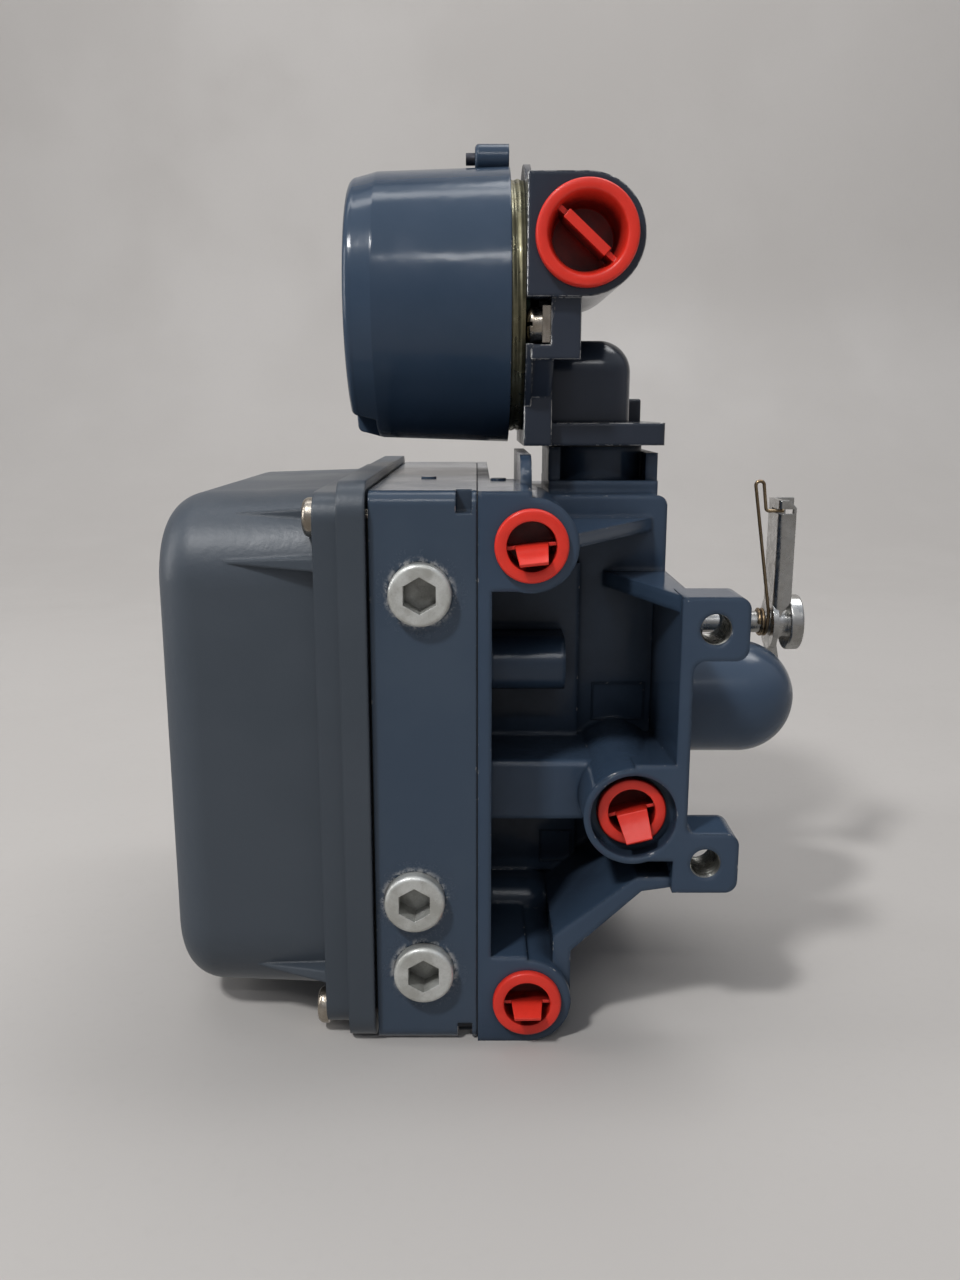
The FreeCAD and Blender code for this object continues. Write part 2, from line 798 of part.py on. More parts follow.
def joint_gasket():
    y1 = case_width / 2 - joint_seal_inset
    z0 = joint_seal_inset
    z1 = case_height - joint_seal_inset
    sheet = rounded_slab(0, joint_seal, -y1, y1, z0, z1, case_corner_r)
    shaft_hole = rod_x(bushing_r + running_fit, -1, joint_seal + 1, shaft_y, shaft_z)
    cuts = [core_cavity(-1, joint_seal + 1), shaft_hole]
    for y, z in case_screw_places():
        cuts.append(rod_x(case_screw_r + screw_clearance, -1, joint_seal + 1, y, z))
    return sheet.cut(Part.makeCompound(cuts))


# Manifold casting

def core_outline(inset):
    """The core seen along Y: its lower rear corner is cut off at a slope."""
    x0 = manifold_front
    x1 = core_back - inset
    slope = (core_slope_top - core_base) / (core_back - core_slope_start)
    shift = inset * (math.sqrt(1 + slope * slope) - slope)
    return [(x0, core_base + inset), (core_slope_start - shift, core_base + inset),
            (x1, core_slope_top + shift), (x1, core_top - inset), (x0, core_top - inset)]


def core_cavity(x_from, x_to):
    """The hollow of the core, between two stations along X."""
    outline = core_outline(core_wall)
    outline = [(x_from, z) if x <= manifold_front else (x, z) for x, z in outline]
    hollow = prism_y(outline, pocket_y + core_wall, core_far - core_wall)
    window = box(x_from, x_to, -case_width, case_width, -1, case_height + 1)
    return hollow.common(window)


def tower(inset, start):
    centre = tower_tip - tower_r
    barrel = rod_x(tower_r - inset, start, centre, tower_y, tower_z)
    nose = Part.makeSphere(tower_r - inset, V(centre, tower_y, tower_z), V(1, 0, 0), 0, 90, 360)
    return barrel.fuse(nose).removeSplitter()


def output_block(z0, z1, z_port):
    """A port boss and the solid web that joins it to the sealing plate."""
    web = box(manifold_front, port_boss_x, port_y, pocket_y + 1, z0, z1)
    return web.fuse(rod_y(port_boss_r, port_y, pocket_y + 1, port_boss_x, z_port))


def lug(z):
    """A mounting lug on the column, with round outer corners."""
    x0 = core_back - column_thickness
    x1 = lug_x + lug_half_width
    z0 = z - lug_half_height
    z1 = z + lug_half_height
    plate = box(x0, x1, port_y, port_y + lug_thickness, z0, z1)
    corners = [e for e in plate.Edges if e.BoundBox.XMin > x1 - 0.01 and e.BoundBox.ZLength < 0.01]
    return plate.makeFillet(lug_corner_r, corners)


def lug_fillet(z_corner, side, r):
    """The cast fillet between the column's rear face and a lug; side is +1 where it rises from the lug."""
    z = z_corner + side * r
    block = box(core_back, core_back + r, port_y, port_y + lug_thickness, min(z_corner, z), max(z_corner, z))
    return block.cut(rod_y(r, port_y - 1, port_y + lug_thickness + 1, core_back + r, z))


def upper_duct():
    """A cast passage along X that stands half out of the pocket's floor."""
    y = port_y + upper_duct_depth
    r = upper_duct_r
    return fuse([rod_x(r, manifold_front, upper_duct_end, y, upper_duct_z),
                 box(manifold_front, upper_duct_end, y, pocket_y + 1, upper_duct_z - r, upper_duct_z + r)])


def lower_duct():
    """A passage that shows as a low hump with a ball end over the low port's block."""
    y = port_y + lower_duct_depth
    r = lower_duct_r
    z = lower_duct_z
    return fuse([rod_x(r, manifold_front, lower_duct_end, y, z), Part.makeSphere(r, V(lower_duct_end, y, z)),
                 rod_y(r, y, pocket_y + 1, lower_duct_end, z),
                 box(manifold_front, lower_duct_end, y, pocket_y + 1, z - r, z + r)])


def supply_rib():
    front = port_y + supply_rib_depth
    z0 = supply_z - supply_rib_below
    z1 = supply_z + supply_rib_above
    rib = box(manifold_front, supply_x, front, pocket_y + 1, z0, z1)
    edge = edges_where(rib, lambda b: b.YMax < front + 0.01 and b.ZMin > z1 - 0.01)
    return rib.makeFillet(supply_rib_edge_r, edge)


def pocket_webs():
    """The thin walls, shelves and gussets around the port side's pocket."""
    near = port_y + 3
    back = pocket_y + 1
    column_front = core_back - column_thickness
    column = box(column_front, core_back, port_y, back, lower_lug_z - lug_half_height,
                 shelf_top)
    shelf = prism_z([(column_front, near), (core_back, near), (core_back, back),
                     (core_back - shelf_reach, back)], shelf_top - shelf_thickness, shelf_top)
    boss_edge = port_boss_x + port_boss_r
    gusset = prism_z([(port_boss_x, near), (boss_edge, near + gusset_inset), (gusset_end, pocket_y),
                      (gusset_end, back), (port_boss_x, back)], gusset_top - gusset_thickness, gusset_top)
    foot_z = 2 * port_boss_r + 1
    end_z = lower_lug_z - lug_half_height
    t = web_thickness
    brace = prism_y([(brace_foot_x, port_boss_r), (boss_edge, port_boss_r), (boss_edge, foot_z),
                     (brace_bend_x, end_z - 1), (core_back - t, end_z), (core_back - t, end_z + t),
                     (brace_bend_x - 1, end_z + t), (brace_foot_x, brace_foot_top)], near, back)
    return [column, shelf, gusset, brace]


def bridge():
    """The solid wall behind the supply port; its top slopes down to the pocket's floor."""
    back = pocket_y + 1
    z0 = supply_z - bridge_below
    return prism_x([(port_y, z0), (back, z0), (back, supply_z + bridge_above_back),
                    (port_y, supply_z + bridge_above)], supply_x, core_back)


def bracket_tab():
    near = port_y + tab_start
    top = case_height + tab_height
    tab = box(tab_x, tab_x + tab_thickness, near, near + tab_length, core_top - core_wall, top)
    corner = edges_where(tab, lambda b: b.YMax < near + 0.01 and b.ZMin > top - 0.01)
    return tab.makeFillet(tab_corner_r, corner)


def manifold_casting():
    plate = rounded_slab(manifold_front, plate_back, port_y, far_y, 0, case_height, case_corner_r)
    core = prism_y(core_outline(0), pocket_y, core_far)
    top_edge = [e for e in core.Edges
                if e.BoundBox.XMin > core_back - 0.01 and e.BoundBox.ZMin > core_top - 0.01]
    core = core.makeFillet(core_corner_r, top_edge)
    solids = [plate, core, bridge(), upper_duct(), lower_duct(), supply_rib(), bracket_tab(),
              output_block(case_height - output_block_height, case_height, top_port_z),
              output_block(0, output_block_height, port_boss_r),
              rod_y(supply_boss_r, port_y, pocket_y + 1, supply_x, supply_z),
              box(manifold_front, panel_end, pocket_y - panel_height, pocket_y + 1, panel_bottom,
                  case_height - output_block_height + 1),
              lug(upper_lug_z), lug_fillet(upper_lug_z - lug_half_height, -1, upper_lug_fillet),
              lug(lower_lug_z), lug_fillet(lower_lug_z + lug_half_height, 1, lower_lug_fillet),
              tower(0, core_back - 1), rod_z(pip_r, case_height - 1, case_height + pip_height, block_pip_x,
                    pocket_y - block_pip_setback),
              rod_x(shaft_boss_r, core_back - core_wall - bushing_length, shaft_boss_end, shaft_y, shaft_z)]
    solids += pocket_webs() + neck()
    body = fuse(solids)
    shaft_bore = rod_x(shaft_r + 2 * running_fit, manifold_front, shaft_boss_end + 1, shaft_y, shaft_z)
    bushing_seat = rod_x(bushing_r, shaft_boss_end - bushing_length, shaft_boss_end + 1, shaft_y, shaft_z)
    cavity = core_cavity(manifold_front - 1, core_back).cut(
        rod_x(shaft_boss_r, core_back - core_wall - bushing_length, core_back, shaft_y, shaft_z))
    shaft_boss = rod_x(shaft_boss_r, core_back - core_wall - bushing_length, shaft_boss_end,
                       shaft_y, shaft_z)
    cuts = [cavity, tower(tower_wall, core_back - core_wall - 1).cut(shaft_boss),
            shaft_bore, bushing_seat,
            rod_x(bushing_r, manifold_front - 1, plate_back + 1, shaft_y, shaft_z),
            rod_y(supply_recess_r, port_y - 1, port_y + supply_recess_depth, supply_x, supply_z),
            rod_y(port_bore_r, port_y, port_y + supply_recess_depth + port_bore_depth, supply_x, supply_z)]
    for z in (top_port_z, port_boss_r):
        cuts.append(rod_y(port_bore_r, port_y - 1, port_y + port_bore_depth, port_boss_x, z))
    for z in (upper_lug_z, lower_lug_z):
        cuts.append(rod_y(lug_hole_r, port_y - 1, port_y + lug_thickness + 1, lug_x, z))
    for y, z in case_screw_places():
        cuts.append(rod_x(case_screw_r + running_fit, manifold_front - 1,
                          manifold_front + case_screw_reach + air_gap, y, z))
    for x, y in base_screw_places:
        cuts.append(rod_z(base_screw_r + running_fit, base_top - base_screw_reach - 1, base_z + 1, x, y))
    cuts.append(rod_z(neck_bore_r, core_top - core_wall - 1, base_z + 1, neck_x, 0))
    return body.cut(Part.makeCompound(cuts))


def neck():
    """The round neck on top of the core, with its end plates, foot and screw bosses."""
    top = base_z - base_seal
    foot_y = neck_half_width + neck_foot_margin
    foot = box(neck_front, core_back - 1, -foot_y, foot_y, core_top - 1, core_top + neck_foot)
    post = rod_z(neck_r, core_top - 1, top, neck_x, 0)
    rear = box(neck_plate_back - neck_plate_thickness, neck_plate_back, -neck_half_width,
               neck_half_width, core_top - 1, top - neck_rear_drop)
    front = box(neck_front, neck_front + neck_plate_thickness, -neck_half_width, neck_half_width,
                core_top - 1, top)
    bosses = [rod_z(base_screw_head_r, core_top - 1, top, x, y) for x, y in base_screw_places if y > 0]
    return [foot, post, rear, front] + bosses


# Electro-pneumatic converter

def base_seal_sheet():
    sheet = rod_z(neck_r, base_z - base_seal, base_z, neck_x, 0)
    holes = [rod_z(neck_bore_r, base_z - base_seal - 1, base_z + 1, neck_x, 0)]
    for x, y in base_screw_places:
        sheet = sheet.fuse(rod_z(base_screw_head_r, base_z - base_seal, base_z, x, y))
        holes.append(rod_z(base_screw_r + screw_clearance, base_z - base_seal - 1, base_z + 1, x, y))
    return sheet.cut(Part.makeCompound(holes)).removeSplitter()


def base_screws():
    screws = []
    for x, y in base_screw_places:
        head = rod_z(base_screw_head_r, base_top, base_top + base_screw_head, x, y)
        rim = edges_where(head, lambda b: b.ZMin > base_top + base_screw_head - 0.01)
        head = head.makeFillet(base_screw_edge, rim)
        shank = rod_z(base_screw_r, base_top - base_screw_reach, base_top, x, y)
        socket = prism_z(hexagon_points(base_screw_hex, x, y), base_top + base_screw_head / 2,
                         base_top + base_screw_head + 1)
        screws.append(head.fuse(shank).cut(socket).removeSplitter())
    return Part.makeCompound(screws)


def bonnet_block(inset, z0):
    """The rounded hood of the converter, smaller by inset."""
    x0 = disc_back + inset
    x1 = bonnet_back - inset
    z1 = base_top + bonnet_height - inset
    block = box(x0, x1, bonnet_near + inset, bonnet_far - inset, z0, z1)
    edges = edges_where(block, lambda b: (along_z(b) and b.XMin > x0 + 1)
                        or (b.ZMin > z1 - 0.01 and not b.XMax < x0 + 0.01))
    return block.makeFillet(bonnet_round_r - inset, edges)


def converter_bonnet():
    return bonnet_block(0, base_top).cut(bonnet_block(bonnet_wall, base_top - 1))


def yoke_x():
    return disc_back + bonnet_wall + motor_offset


def coil_z():
    return base_top + coil_centre


def converter_yoke():
    """A U-shaped magnet yoke that stands on the converter's base."""
    x0 = yoke_x()
    half = yoke_width / 2
    outer = box(x0, x0 + yoke_depth, motor_y - half, motor_y + half, base_top, base_top + yoke_height)
    inner = box(x0 - 1, x0 + yoke_depth + 1, motor_y - half + yoke_thickness,
                motor_y + half - yoke_thickness, base_top + yoke_thickness, base_top + yoke_height + 1)
    rest = box(x0, x0 + yoke_depth, motor_y - half, motor_y + half, base_top + yoke_thickness,
               coil_z() - coil_r)
    return fuse([outer.cut(inner), rest])


def converter_coil():
    x0 = yoke_x() + (yoke_depth - coil_length) / 2
    return tube_x(coil_r, coil_bore_r, x0, x0 + coil_length, motor_y, coil_z())


def armature():
    """The flapper beam: one end in the coil, the other over the nozzle, on a pivot bar."""
    z = coil_z()
    half = armature_width / 2
    bar = box(yoke_x() + armature_setback, bonnet_back - bonnet_wall - armature_end_gap, motor_y - half,
              motor_y + half, z - armature_thickness / 2, z + armature_thickness / 2)
    reach = pivot_span + pivot_post_half
    pivot = rod_y(armature_thickness / 2, motor_y - reach, motor_y + reach, armature_pivot_x(), z)
    return fuse([bar, pivot])


def armature_pivot_x():
    return yoke_x() + yoke_depth + pivot_offset


def pivot_posts():
    """Two posts that carry the armature's pivot bar beside the yoke."""
    posts = []
    x = armature_pivot_x()
    half = pivot_post_half
    for side in (-1, 1):
        y = motor_y + side * pivot_span
        post = box(x - pivot_post_reach, x + pivot_post_reach, y - half, y + half, base_top,
                   coil_z() + pivot_post_rise)
        posts.append(post.cut(rod_y(armature_thickness / 2 + running_fit, y - 2 * half, y + 2 * half,
                                    x, coil_z())))
    return Part.makeCompound(posts)


def nozzle():
    top = coil_z() - armature_thickness / 2 - nozzle_gap
    post = rod_z(nozzle_r, base_z, top, nozzle_x, motor_y)
    return post.cut(rod_z(nozzle_bore_r, base_z - 1, top + 1, nozzle_x, motor_y))


# Terminal housing

def terminal_housing():
    """The terminal box's plate, its conduit barrel and the converter's base in one casting."""
    z = terminal_z
    disc = rod_x(disc_body_r, disc_front, disc_back, 0, z)
    rim = edges_where(disc, lambda b: b.XMin > disc_back - 0.01)
    disc = disc.makeFillet(disc_edge_r, rim).fuse(rod_x(disc_r, disc_front, disc_front + disc_rim, 0, z))
    foot = box(disc_front, disc_back, -foot_half_width, foot_half_width, base_z, z)
    base = box(disc_back - 1, base_back, base_near, base_far, base_z, base_top)
    base = base.makeFillet(base_corner_r, edges_where(base, lambda b: along_z(b) and b.XMin > disc_back))
    barrel = rod_y(barrel_r, barrel_start, barrel_end, barrel_x, barrel_z)
    cheek = box(disc_front, barrel_x, barrel_start, barrel_end, barrel_z - barrel_r, barrel_z + barrel_r)
    half = ground_block_width / 2
    block_end = ground_block_x + ground_block_length
    block = box(ground_block_x, block_end, ground_y - half, ground_y + half, ground_block_bottom,
                barrel_z - barrel_r + 1)
    ledge = box(disc_front + ground_ledge_setback, block_end, ground_y - half, ground_y + half,
                ground_block_bottom, ground_block_bottom + ground_ledge)
    body = fuse([disc, foot, base, barrel, cheek, block, ledge])
    niche = box(disc_front - 1, ground_block_x, ground_y - half - niche_margin,
                ground_y + ground_head_r + niche_far_margin, ground_z - ground_head_r - air_gap,
                barrel_z - barrel_r)
    cuts = [niche, rod_x(chamber_r, disc_front - 1, disc_back - disc_wall, 0, z),
            rod_y(conduit_bore_r, barrel_start - 1, barrel_start + conduit_bore_depth, barrel_x, barrel_z),
            rod_x(wire_hole_r, disc_front, barrel_x, 0, barrel_z),
            rod_x(ground_screw_r + running_fit, ground_block_x - 1, block_end - ground_screw_spare / 2,
                  ground_y, ground_z),
            rod_z(nozzle_r, base_z - 1, base_top + 1, nozzle_x, motor_y)]
    for x, y in base_screw_places:
        cuts.append(rod_z(base_screw_r + screw_clearance, base_z - 1, base_top + 1, x, y))
    return body.cut(Part.makeCompound(cuts))


def threaded_collar():
    return tube_x(collar_r, chamber_r, disc_front - collar_length, disc_front, 0, terminal_z)


def cap_solid():
    """The cap's outer form, turned about the collar's axis: two tapers and a slight dome."""
    z = terminal_z
    edge_x = cap_front + cap_edge_r
    face_r = cap_front_r - cap_edge_r
    crown_r = (face_r ** 2 + cap_bulge ** 2) / (2 * cap_bulge)
    half_turn = math.asin(face_r / crown_r) / 2
    crown_x = cap_front - cap_bulge + crown_r
    s = cap_edge_r * (1 - math.sqrt(0.5))
    centre = V(cap_mouth, 0, z)
    mouth = V(cap_mouth, 0, z + cap_mouth_r)
    crease = V(cap_front + cap_crease_length, 0, z + cap_crease_r)
    shoulder = V(edge_x, 0, z + cap_front_r)
    face = V(cap_front, 0, z + face_r)
    pole = V(cap_front - cap_bulge, 0, z)
    on_dome = V(crown_x - crown_r * math.cos(half_turn), 0, z + crown_r * math.sin(half_turn))
    on_edge = V(cap_front + s, 0, z + cap_front_r - s)
    edges = [Part.makeLine(centre, mouth), Part.makeLine(mouth, crease), Part.makeLine(crease, shoulder),
             Part.Arc(shoulder, on_edge, face).toShape(), Part.Arc(face, on_dome, pole).toShape(),
             Part.makeLine(pole, centre)]
    return Part.Face(Part.Wire(edges)).revolve(V(0, 0, z), V(1, 0, 0), 360)


def cap_notches():
    """Two spanner notches in the cap's front edge, opposite each other."""
    notches = []
    for turn in (0, 180):
        cutter = box(cap_front - cap_bulge - 1, cap_front + cap_notch_length, -cap_notch_width / 2,
                     cap_notch_width / 2, terminal_z - cap_mouth_r - 1,
                     terminal_z - cap_front_r + cap_notch_depth)
        cutter.rotate(V(0, 0, terminal_z), V(1, 0, 0), -cap_notch_angle + turn)
        notches.append(cutter)
    return notches


def lock_z():
    return terminal_z + cap_mouth_r + lock_boss_rise


def terminal_cap():
    body = cap_solid()
    boss = rod_x(lock_boss_r, cap_mouth - lock_boss_length, cap_mouth, 0, lock_z())
    rim = edges_where(boss, lambda b: b.XMax < cap_mouth - lock_boss_length + 0.01)
    boss = boss.makeFillet(lock_boss_edge, rim)
    body = fuse([body, boss])
    bore = rod_x(collar_r + running_fit, disc_front - collar_length - air_gap - 2 * cap_ring_r,
                 cap_mouth + 1, 0, terminal_z)
    hollow_r = cap_front_r - cap_notch_depth - cap_notch_wall
    hollow = rod_x(hollow_r, cap_front + cap_front_wall, cap_mouth, 0, terminal_z)
    screw = rod_x(lock_screw_r + running_fit, cap_mouth - lock_boss_length - 1, cap_mouth + 1, 0, lock_z())
    return body.cut(Part.makeCompound(cap_notches() + [bore, hollow, screw]))


def cap_ring():
    """The sealing ring that lies in the cap's shoulder, against the collar's end."""
    x = disc_front - collar_length - cap_ring_r - air_gap / 2
    centre = V(x, 0, terminal_z + collar_r - cap_ring_r - cap_ring_inset)
    circle = Part.Wire(Part.makeCircle(cap_ring_r, centre, V(0, 1, 0)))
    return Part.Face(circle).revolve(V(0, 0, terminal_z), V(1, 0, 0), 360)


def lock_screw():
    z = lock_z()
    x0 = cap_mouth - lock_boss_length - lock_screw_stand_out
    body = rod_x(lock_screw_r, x0, cap_mouth, 0, z)
    return body.cut(prism_x(hexagon_points(lock_hex, 0, z), x0 - 1, x0 + lock_socket))


def ground_washers():
    washers = []
    half = ground_washer / 2
    for i in range(ground_washer_count):
        x0 = ground_block_x - (i + 1) * ground_washer_thickness
        plate = box(x0, x0 + ground_washer_thickness, ground_y - half, ground_y + half,
                    ground_z - half, ground_z + half)
        hole = rod_x(ground_screw_r + running_fit, x0 - 1, x0 + 2, ground_y, ground_z)
        washers.append(plate.cut(hole))
    return Part.makeCompound(washers)


def ground_screw():
    seat = ground_block_x - ground_washer_count * ground_washer_thickness
    head = rod_x(ground_head_r, seat - ground_head_height, seat, ground_y, ground_z)
    rim = edges_where(head, lambda b: b.XMax < seat - ground_head_height + 0.01)
    head = head.makeFillet(ground_head_edge, rim)
    shank = rod_x(ground_screw_r, seat, ground_block_x + ground_block_length - ground_screw_spare,
                  ground_y, ground_z)
    slot = box(seat - ground_head_height - 1, seat - ground_head_height + slot_depth,
               ground_y - ground_head_r, ground_y + ground_head_r, ground_z - slot_width / 2,
               ground_z + slot_width / 2)
    return head.fuse(shank).cut(slot).removeSplitter()


def chamber_floor():
    return disc_back - disc_wall


def circuit_board():
    x1 = chamber_floor() - board_lift
    board = rod_x(board_r, x1 - board_thickness, x1, 0, terminal_z)
    return board.cut(rod_x(wire_hole_r, x1 - board_thickness - 1, x1 + 1, 0, barrel_z))


def board_spacers():
    spacers = []
    for y, z in spacer_places:
        spacers.append(rod_x(spacer_r, chamber_floor() - board_lift, chamber_floor(), y, terminal_z + z))
    return Part.makeCompound(spacers)


def terminal_block_x():
    return chamber_floor() - board_lift - board_thickness


def terminal_screw_places():
    first = -(terminal_count - 1) / 2 * terminal_pitch
    return [first + i * terminal_pitch for i in range(terminal_count)]


def terminal_block():
    x1 = terminal_block_x()
    z = terminal_z - block_drop - block_height
    body = box(x1 - block_depth, x1, -block_width / 2, block_width / 2, z, z + block_height)
    for y in terminal_screw_places():
        half = terminal_screw_r + well_margin
        well = box(x1 - block_depth - 1, x1 - block_depth / 2, y - half, y + half, z + well_end,
                   z + block_height - well_end)
        body = body.cut(well)
    return body


def terminal_screws():
    x1 = terminal_block_x() - block_depth / 2
    z = terminal_z - block_drop - block_height / 2
    screws = []
    for y in terminal_screw_places():
        head = rod_x(terminal_screw_r, x1 - terminal_screw_height, x1, y, z)
        slot = box(x1 - terminal_screw_height - 1, x1 - terminal_screw_height / 2, y - terminal_screw_r,
                   y + terminal_screw_r, z - terminal_slot / 2, z + terminal_slot / 2)
        screws.append(head.cut(slot))
    return Part.makeCompound(screws)


# Moulded shipping plugs

def pull_plug(x, z, y_face, flange_r, flange, stem_r, stem, opening_r, bar_angle):
    """A hollow moulded plug with a cross bar over its opening; it pulls off towards -Y."""
    body = rod_y(flange_r, y_face - flange, y_face, x, z)
    body = fuse([body, rod_y(stem_r, y_face, y_face + stem, x, z)])
    body = body.cut(rod_y(opening_r, y_face - flange - 1, y_face + stem - plug_floor, x, z))
    reach = opening_r + bar_root
    bar = box(x - reach, x + reach, y_face - flange, y_face + stem / 2, z - bar_width / 2, z + bar_width / 2)
    bar.rotate(V(x, 0, z), V(0, 1, 0), bar_angle)
    return fuse([body, bar])


def air_plug(x, z, y_face, tab_angle):
    body = pull_plug(x, z, y_face, air_plug_flange_r, air_plug_flange, air_plug_stem_r, air_plug_stem,
                     air_plug_opening_r, 0)
    half = pull_tab_width / 2
    tip = half * pull_tab_taper
    y0 = y_face - air_plug_flange - pull_tab_rise
    outline = [(x - half, z + bar_width / 2), (x + half, z + bar_width / 2),
               (x + tip, z - pull_tab_length), (x - tip, z - pull_tab_length)]
    tab = prism_y(outline, y0, y0 + pull_tab_thickness)
    body = fuse([body, tab])
    body.rotate(V(x, 0, z), V(0, 1, 0), tab_angle)
    return body


def conduit_plug():
    return pull_plug(barrel_x, barrel_z, barrel_start, conduit_plug_flange_r, conduit_plug_flange,
                     conduit_plug_stem_r, conduit_plug_stem, conduit_plug_opening_r, conduit_bar_angle)


# Feedback shaft and lever

def shaft_bushings():
    bushings = []
    for x0, x1, face in ((floor_x, plate_back, floor_x), (shaft_boss_end - bushing_length, shaft_boss_end,
                                                          shaft_boss_end)):
        sleeve = rod_x(bushing_r, x0, x1, shaft_y, shaft_z)
        flange_x = face - bushing_collar if face == x0 else face
        collar = rod_x(bushing_r + bushing_collar_width, flange_x, flange_x + bushing_collar,
                       shaft_y, shaft_z)
        bore = rod_x(shaft_r + running_fit, x0 - 2 * bushing_collar, x1 + 2 * bushing_collar,
                     shaft_y, shaft_z)
        bushings.append(sleeve.fuse(collar).cut(bore).removeSplitter())
    return Part.makeCompound(bushings)


def feedback_shaft():
    shaft = rod_x(shaft_r, shaft_front, shaft_back, shaft_y, shaft_z)
    groove_x = shaft_boss_end + bushing_collar + air_gap
    ring = tube_x(shaft_r + shaft_ring_width, shaft_r, groove_x, groove_x + shaft_ring, shaft_y, shaft_z)
    return shaft.fuse(ring).removeSplitter()


def lever_local(shape):
    shape.translate(V(0, shaft_y, shaft_z))
    return shape


def feedback_lever():
    """A channel-shaped lever bent from sheet, with a tapered tail on its far flange."""
    x0 = lever_x
    x1 = lever_x + lever_sheet
    w = lever_half_width
    web = box(x0, x1, -w, w, 0, lever_height)
    top = edges_where(web, lambda b: b.ZMin > lever_height - 0.01 and b.YLength < 0.01)
    web = web.makeFillet(lever_top_r, top)
    foot = rod_x(lever_foot_r, x0, x1, 0, 0)
    low = flange_start - near_flange_depth
    near = prism_y([(x0, low), (x1, low), (x0 + near_flange_depth, flange_start),
                    (x0 + near_flange_depth, lever_height - near_flange_chamfer),
                    (x0 + near_flange_depth - near_flange_chamfer, lever_height),
                    (x0, lever_height)], -w, -w + lever_sheet)
    far_edge = x0 + far_flange_depth
    far_low = hub_end - air_gap
    notch_x = far_edge - far_notch_depth
    far = prism_y([(x0, low), (far_low, low), (far_low, far_flange_start), (far_edge, far_flange_start),
                   (far_edge, far_notch_low), (notch_x, far_notch_low), (notch_x, far_notch_high),
                   (far_edge, far_notch_high), (far_edge, lever_height), (x0, lever_height)],
                  w - lever_sheet, w)
    tail_top = low + tail_start
    tail = prism_y([(x0, tail_top), (far_low, tail_top), (far_low, -lever_nut_r - air_gap),
                    (x0 + 2 * tail_width, -tail_drop),
                    (x0 + tail_width, -tail_drop), (x0, -lever_foot_r / 2)], w - lever_sheet, w)
    body = fuse([web, foot, near, far, tail])
    bends = edges_where(body, lambda b: along_z(b) and b.XMax < x0 + 0.01 and b.ZLength > lever_height / 2)
    body = body.makeFillet(lever_bend_r, bends)
    slot = box(x0 - 1, x0 + wire_slot_depth, -w - 1, wire_slot, wire_hook_rise - wire_slot / 2,
               wire_hook_rise + wire_slot / 2)
    hole = rod_x(shaft_r + running_fit, x0 - 1, x1 + 1, 0, 0)
    return lever_local(body.cut(Part.makeCompound([slot, hole])))


def lever_hub():
    return tube_x(hub_r, shaft_r + running_fit, lever_x + lever_sheet, hub_end, shaft_y, shaft_z)


def lever_nut():
    nut = rod_x(lever_nut_r, hub_end, hub_end + lever_nut_length, shaft_y, shaft_z)
    rim = edges_where(nut, lambda b: b.YLength > 1 and b.ZLength > 1)
    nut = nut.makeFillet(lever_nut_edge, rim)
    bore = rod_x(shaft_r + running_fit, hub_end - 1, hub_end + lever_nut_length + 1, shaft_y, shaft_z)
    return nut.cut(bore)


def rounded_path(points, radii):
    """Edges along a run of points, with an arc of its own radius at each inner point."""
    edges = []
    start = points[0]
    for before, corner, after, r in zip(points, points[1:], points[2:], radii):
        into = corner.sub(before).normalize()
        out = after.sub(corner).normalize()
        half = into.getAngle(out) / 2
        reach = r * math.tan(half)
        first = corner.sub(V(into).multiply(reach))
        last = corner.add(V(out).multiply(reach))
        inward = out.sub(into).normalize()
        middle = corner.add(inward.multiply(r / math.cos(half) - r))
        edges.append(Part.makeLine(start, first))
        edges.append(Part.Arc(first, middle, last).toShape())
        start = last
    edges.append(Part.makeLine(start, points[-1]))
    return edges


def wire_coil():
    """A left-hand helix round the shaft that ends at the port side, on its way up."""
    length = wire_turns * wire_pitch
    coil = Part.makeHelix(wire_pitch, length, wire_coil_r).mirror(V(0, 0, 0), V(0, 1, 0))
    coil.rotate(V(0, 0, 0), V(0, 1, 0), 90)
    coil.rotate(V(0, 0, 0), V(1, 0, 0), -90)
    coil.translate(V(lever_x - wire_r - air_gap - length, shaft_y, shaft_z))
    return coil.Edges[0]


def bias_wire():
    """Round spring wire: two turns round the shaft, a leg, a loop and a hook in the lever's slot."""
    coil = wire_coil()
    foot = coil.valueAt(coil.LastParameter)
    lead = coil.tangentAt(coil.LastParameter)
    loop_z = shaft_z + wire_loop_rise
    hook_z = shaft_z + wire_hook_rise
    loop_x = lever_x - wire_out
    points = [foot, foot.add(V(lead).multiply(wire_leg_bend_rise)), V(loop_x, foot.y, loop_z),
              V(loop_x + wire_loop_width, foot.y, loop_z), V(lever_x - wire_step, foot.y, hook_z),
              V(lever_x + lever_sheet + wire_r, foot.y, hook_z)]
    leg = rounded_path(points, (wire_leg_bend_r, wire_loop_r, wire_loop_r, wire_hook_r))
    section = Part.makeCircle(wire_r, coil.valueAt(coil.FirstParameter), coil.tangentAt(coil.FirstParameter))
    return Part.Wire([coil] + leg).makePipeShell([Part.Wire(section)], True, False)


# Feedback cam

def roller_in_cam(angle):
    """The roller's centre as the cam sees it when the shaft has turned by angle."""
    swing = follower_ratio * angle
    y = follower_pivot_y - follower_arm_y * math.cos(swing)
    z = roller_z - follower_arm_y * math.sin(swing)
    dy = y - shaft_y
    dz = z - shaft_z
    return V(0, dy * math.cos(angle) + dz * math.sin(angle), -dy * math.sin(angle) + dz * math.cos(angle))


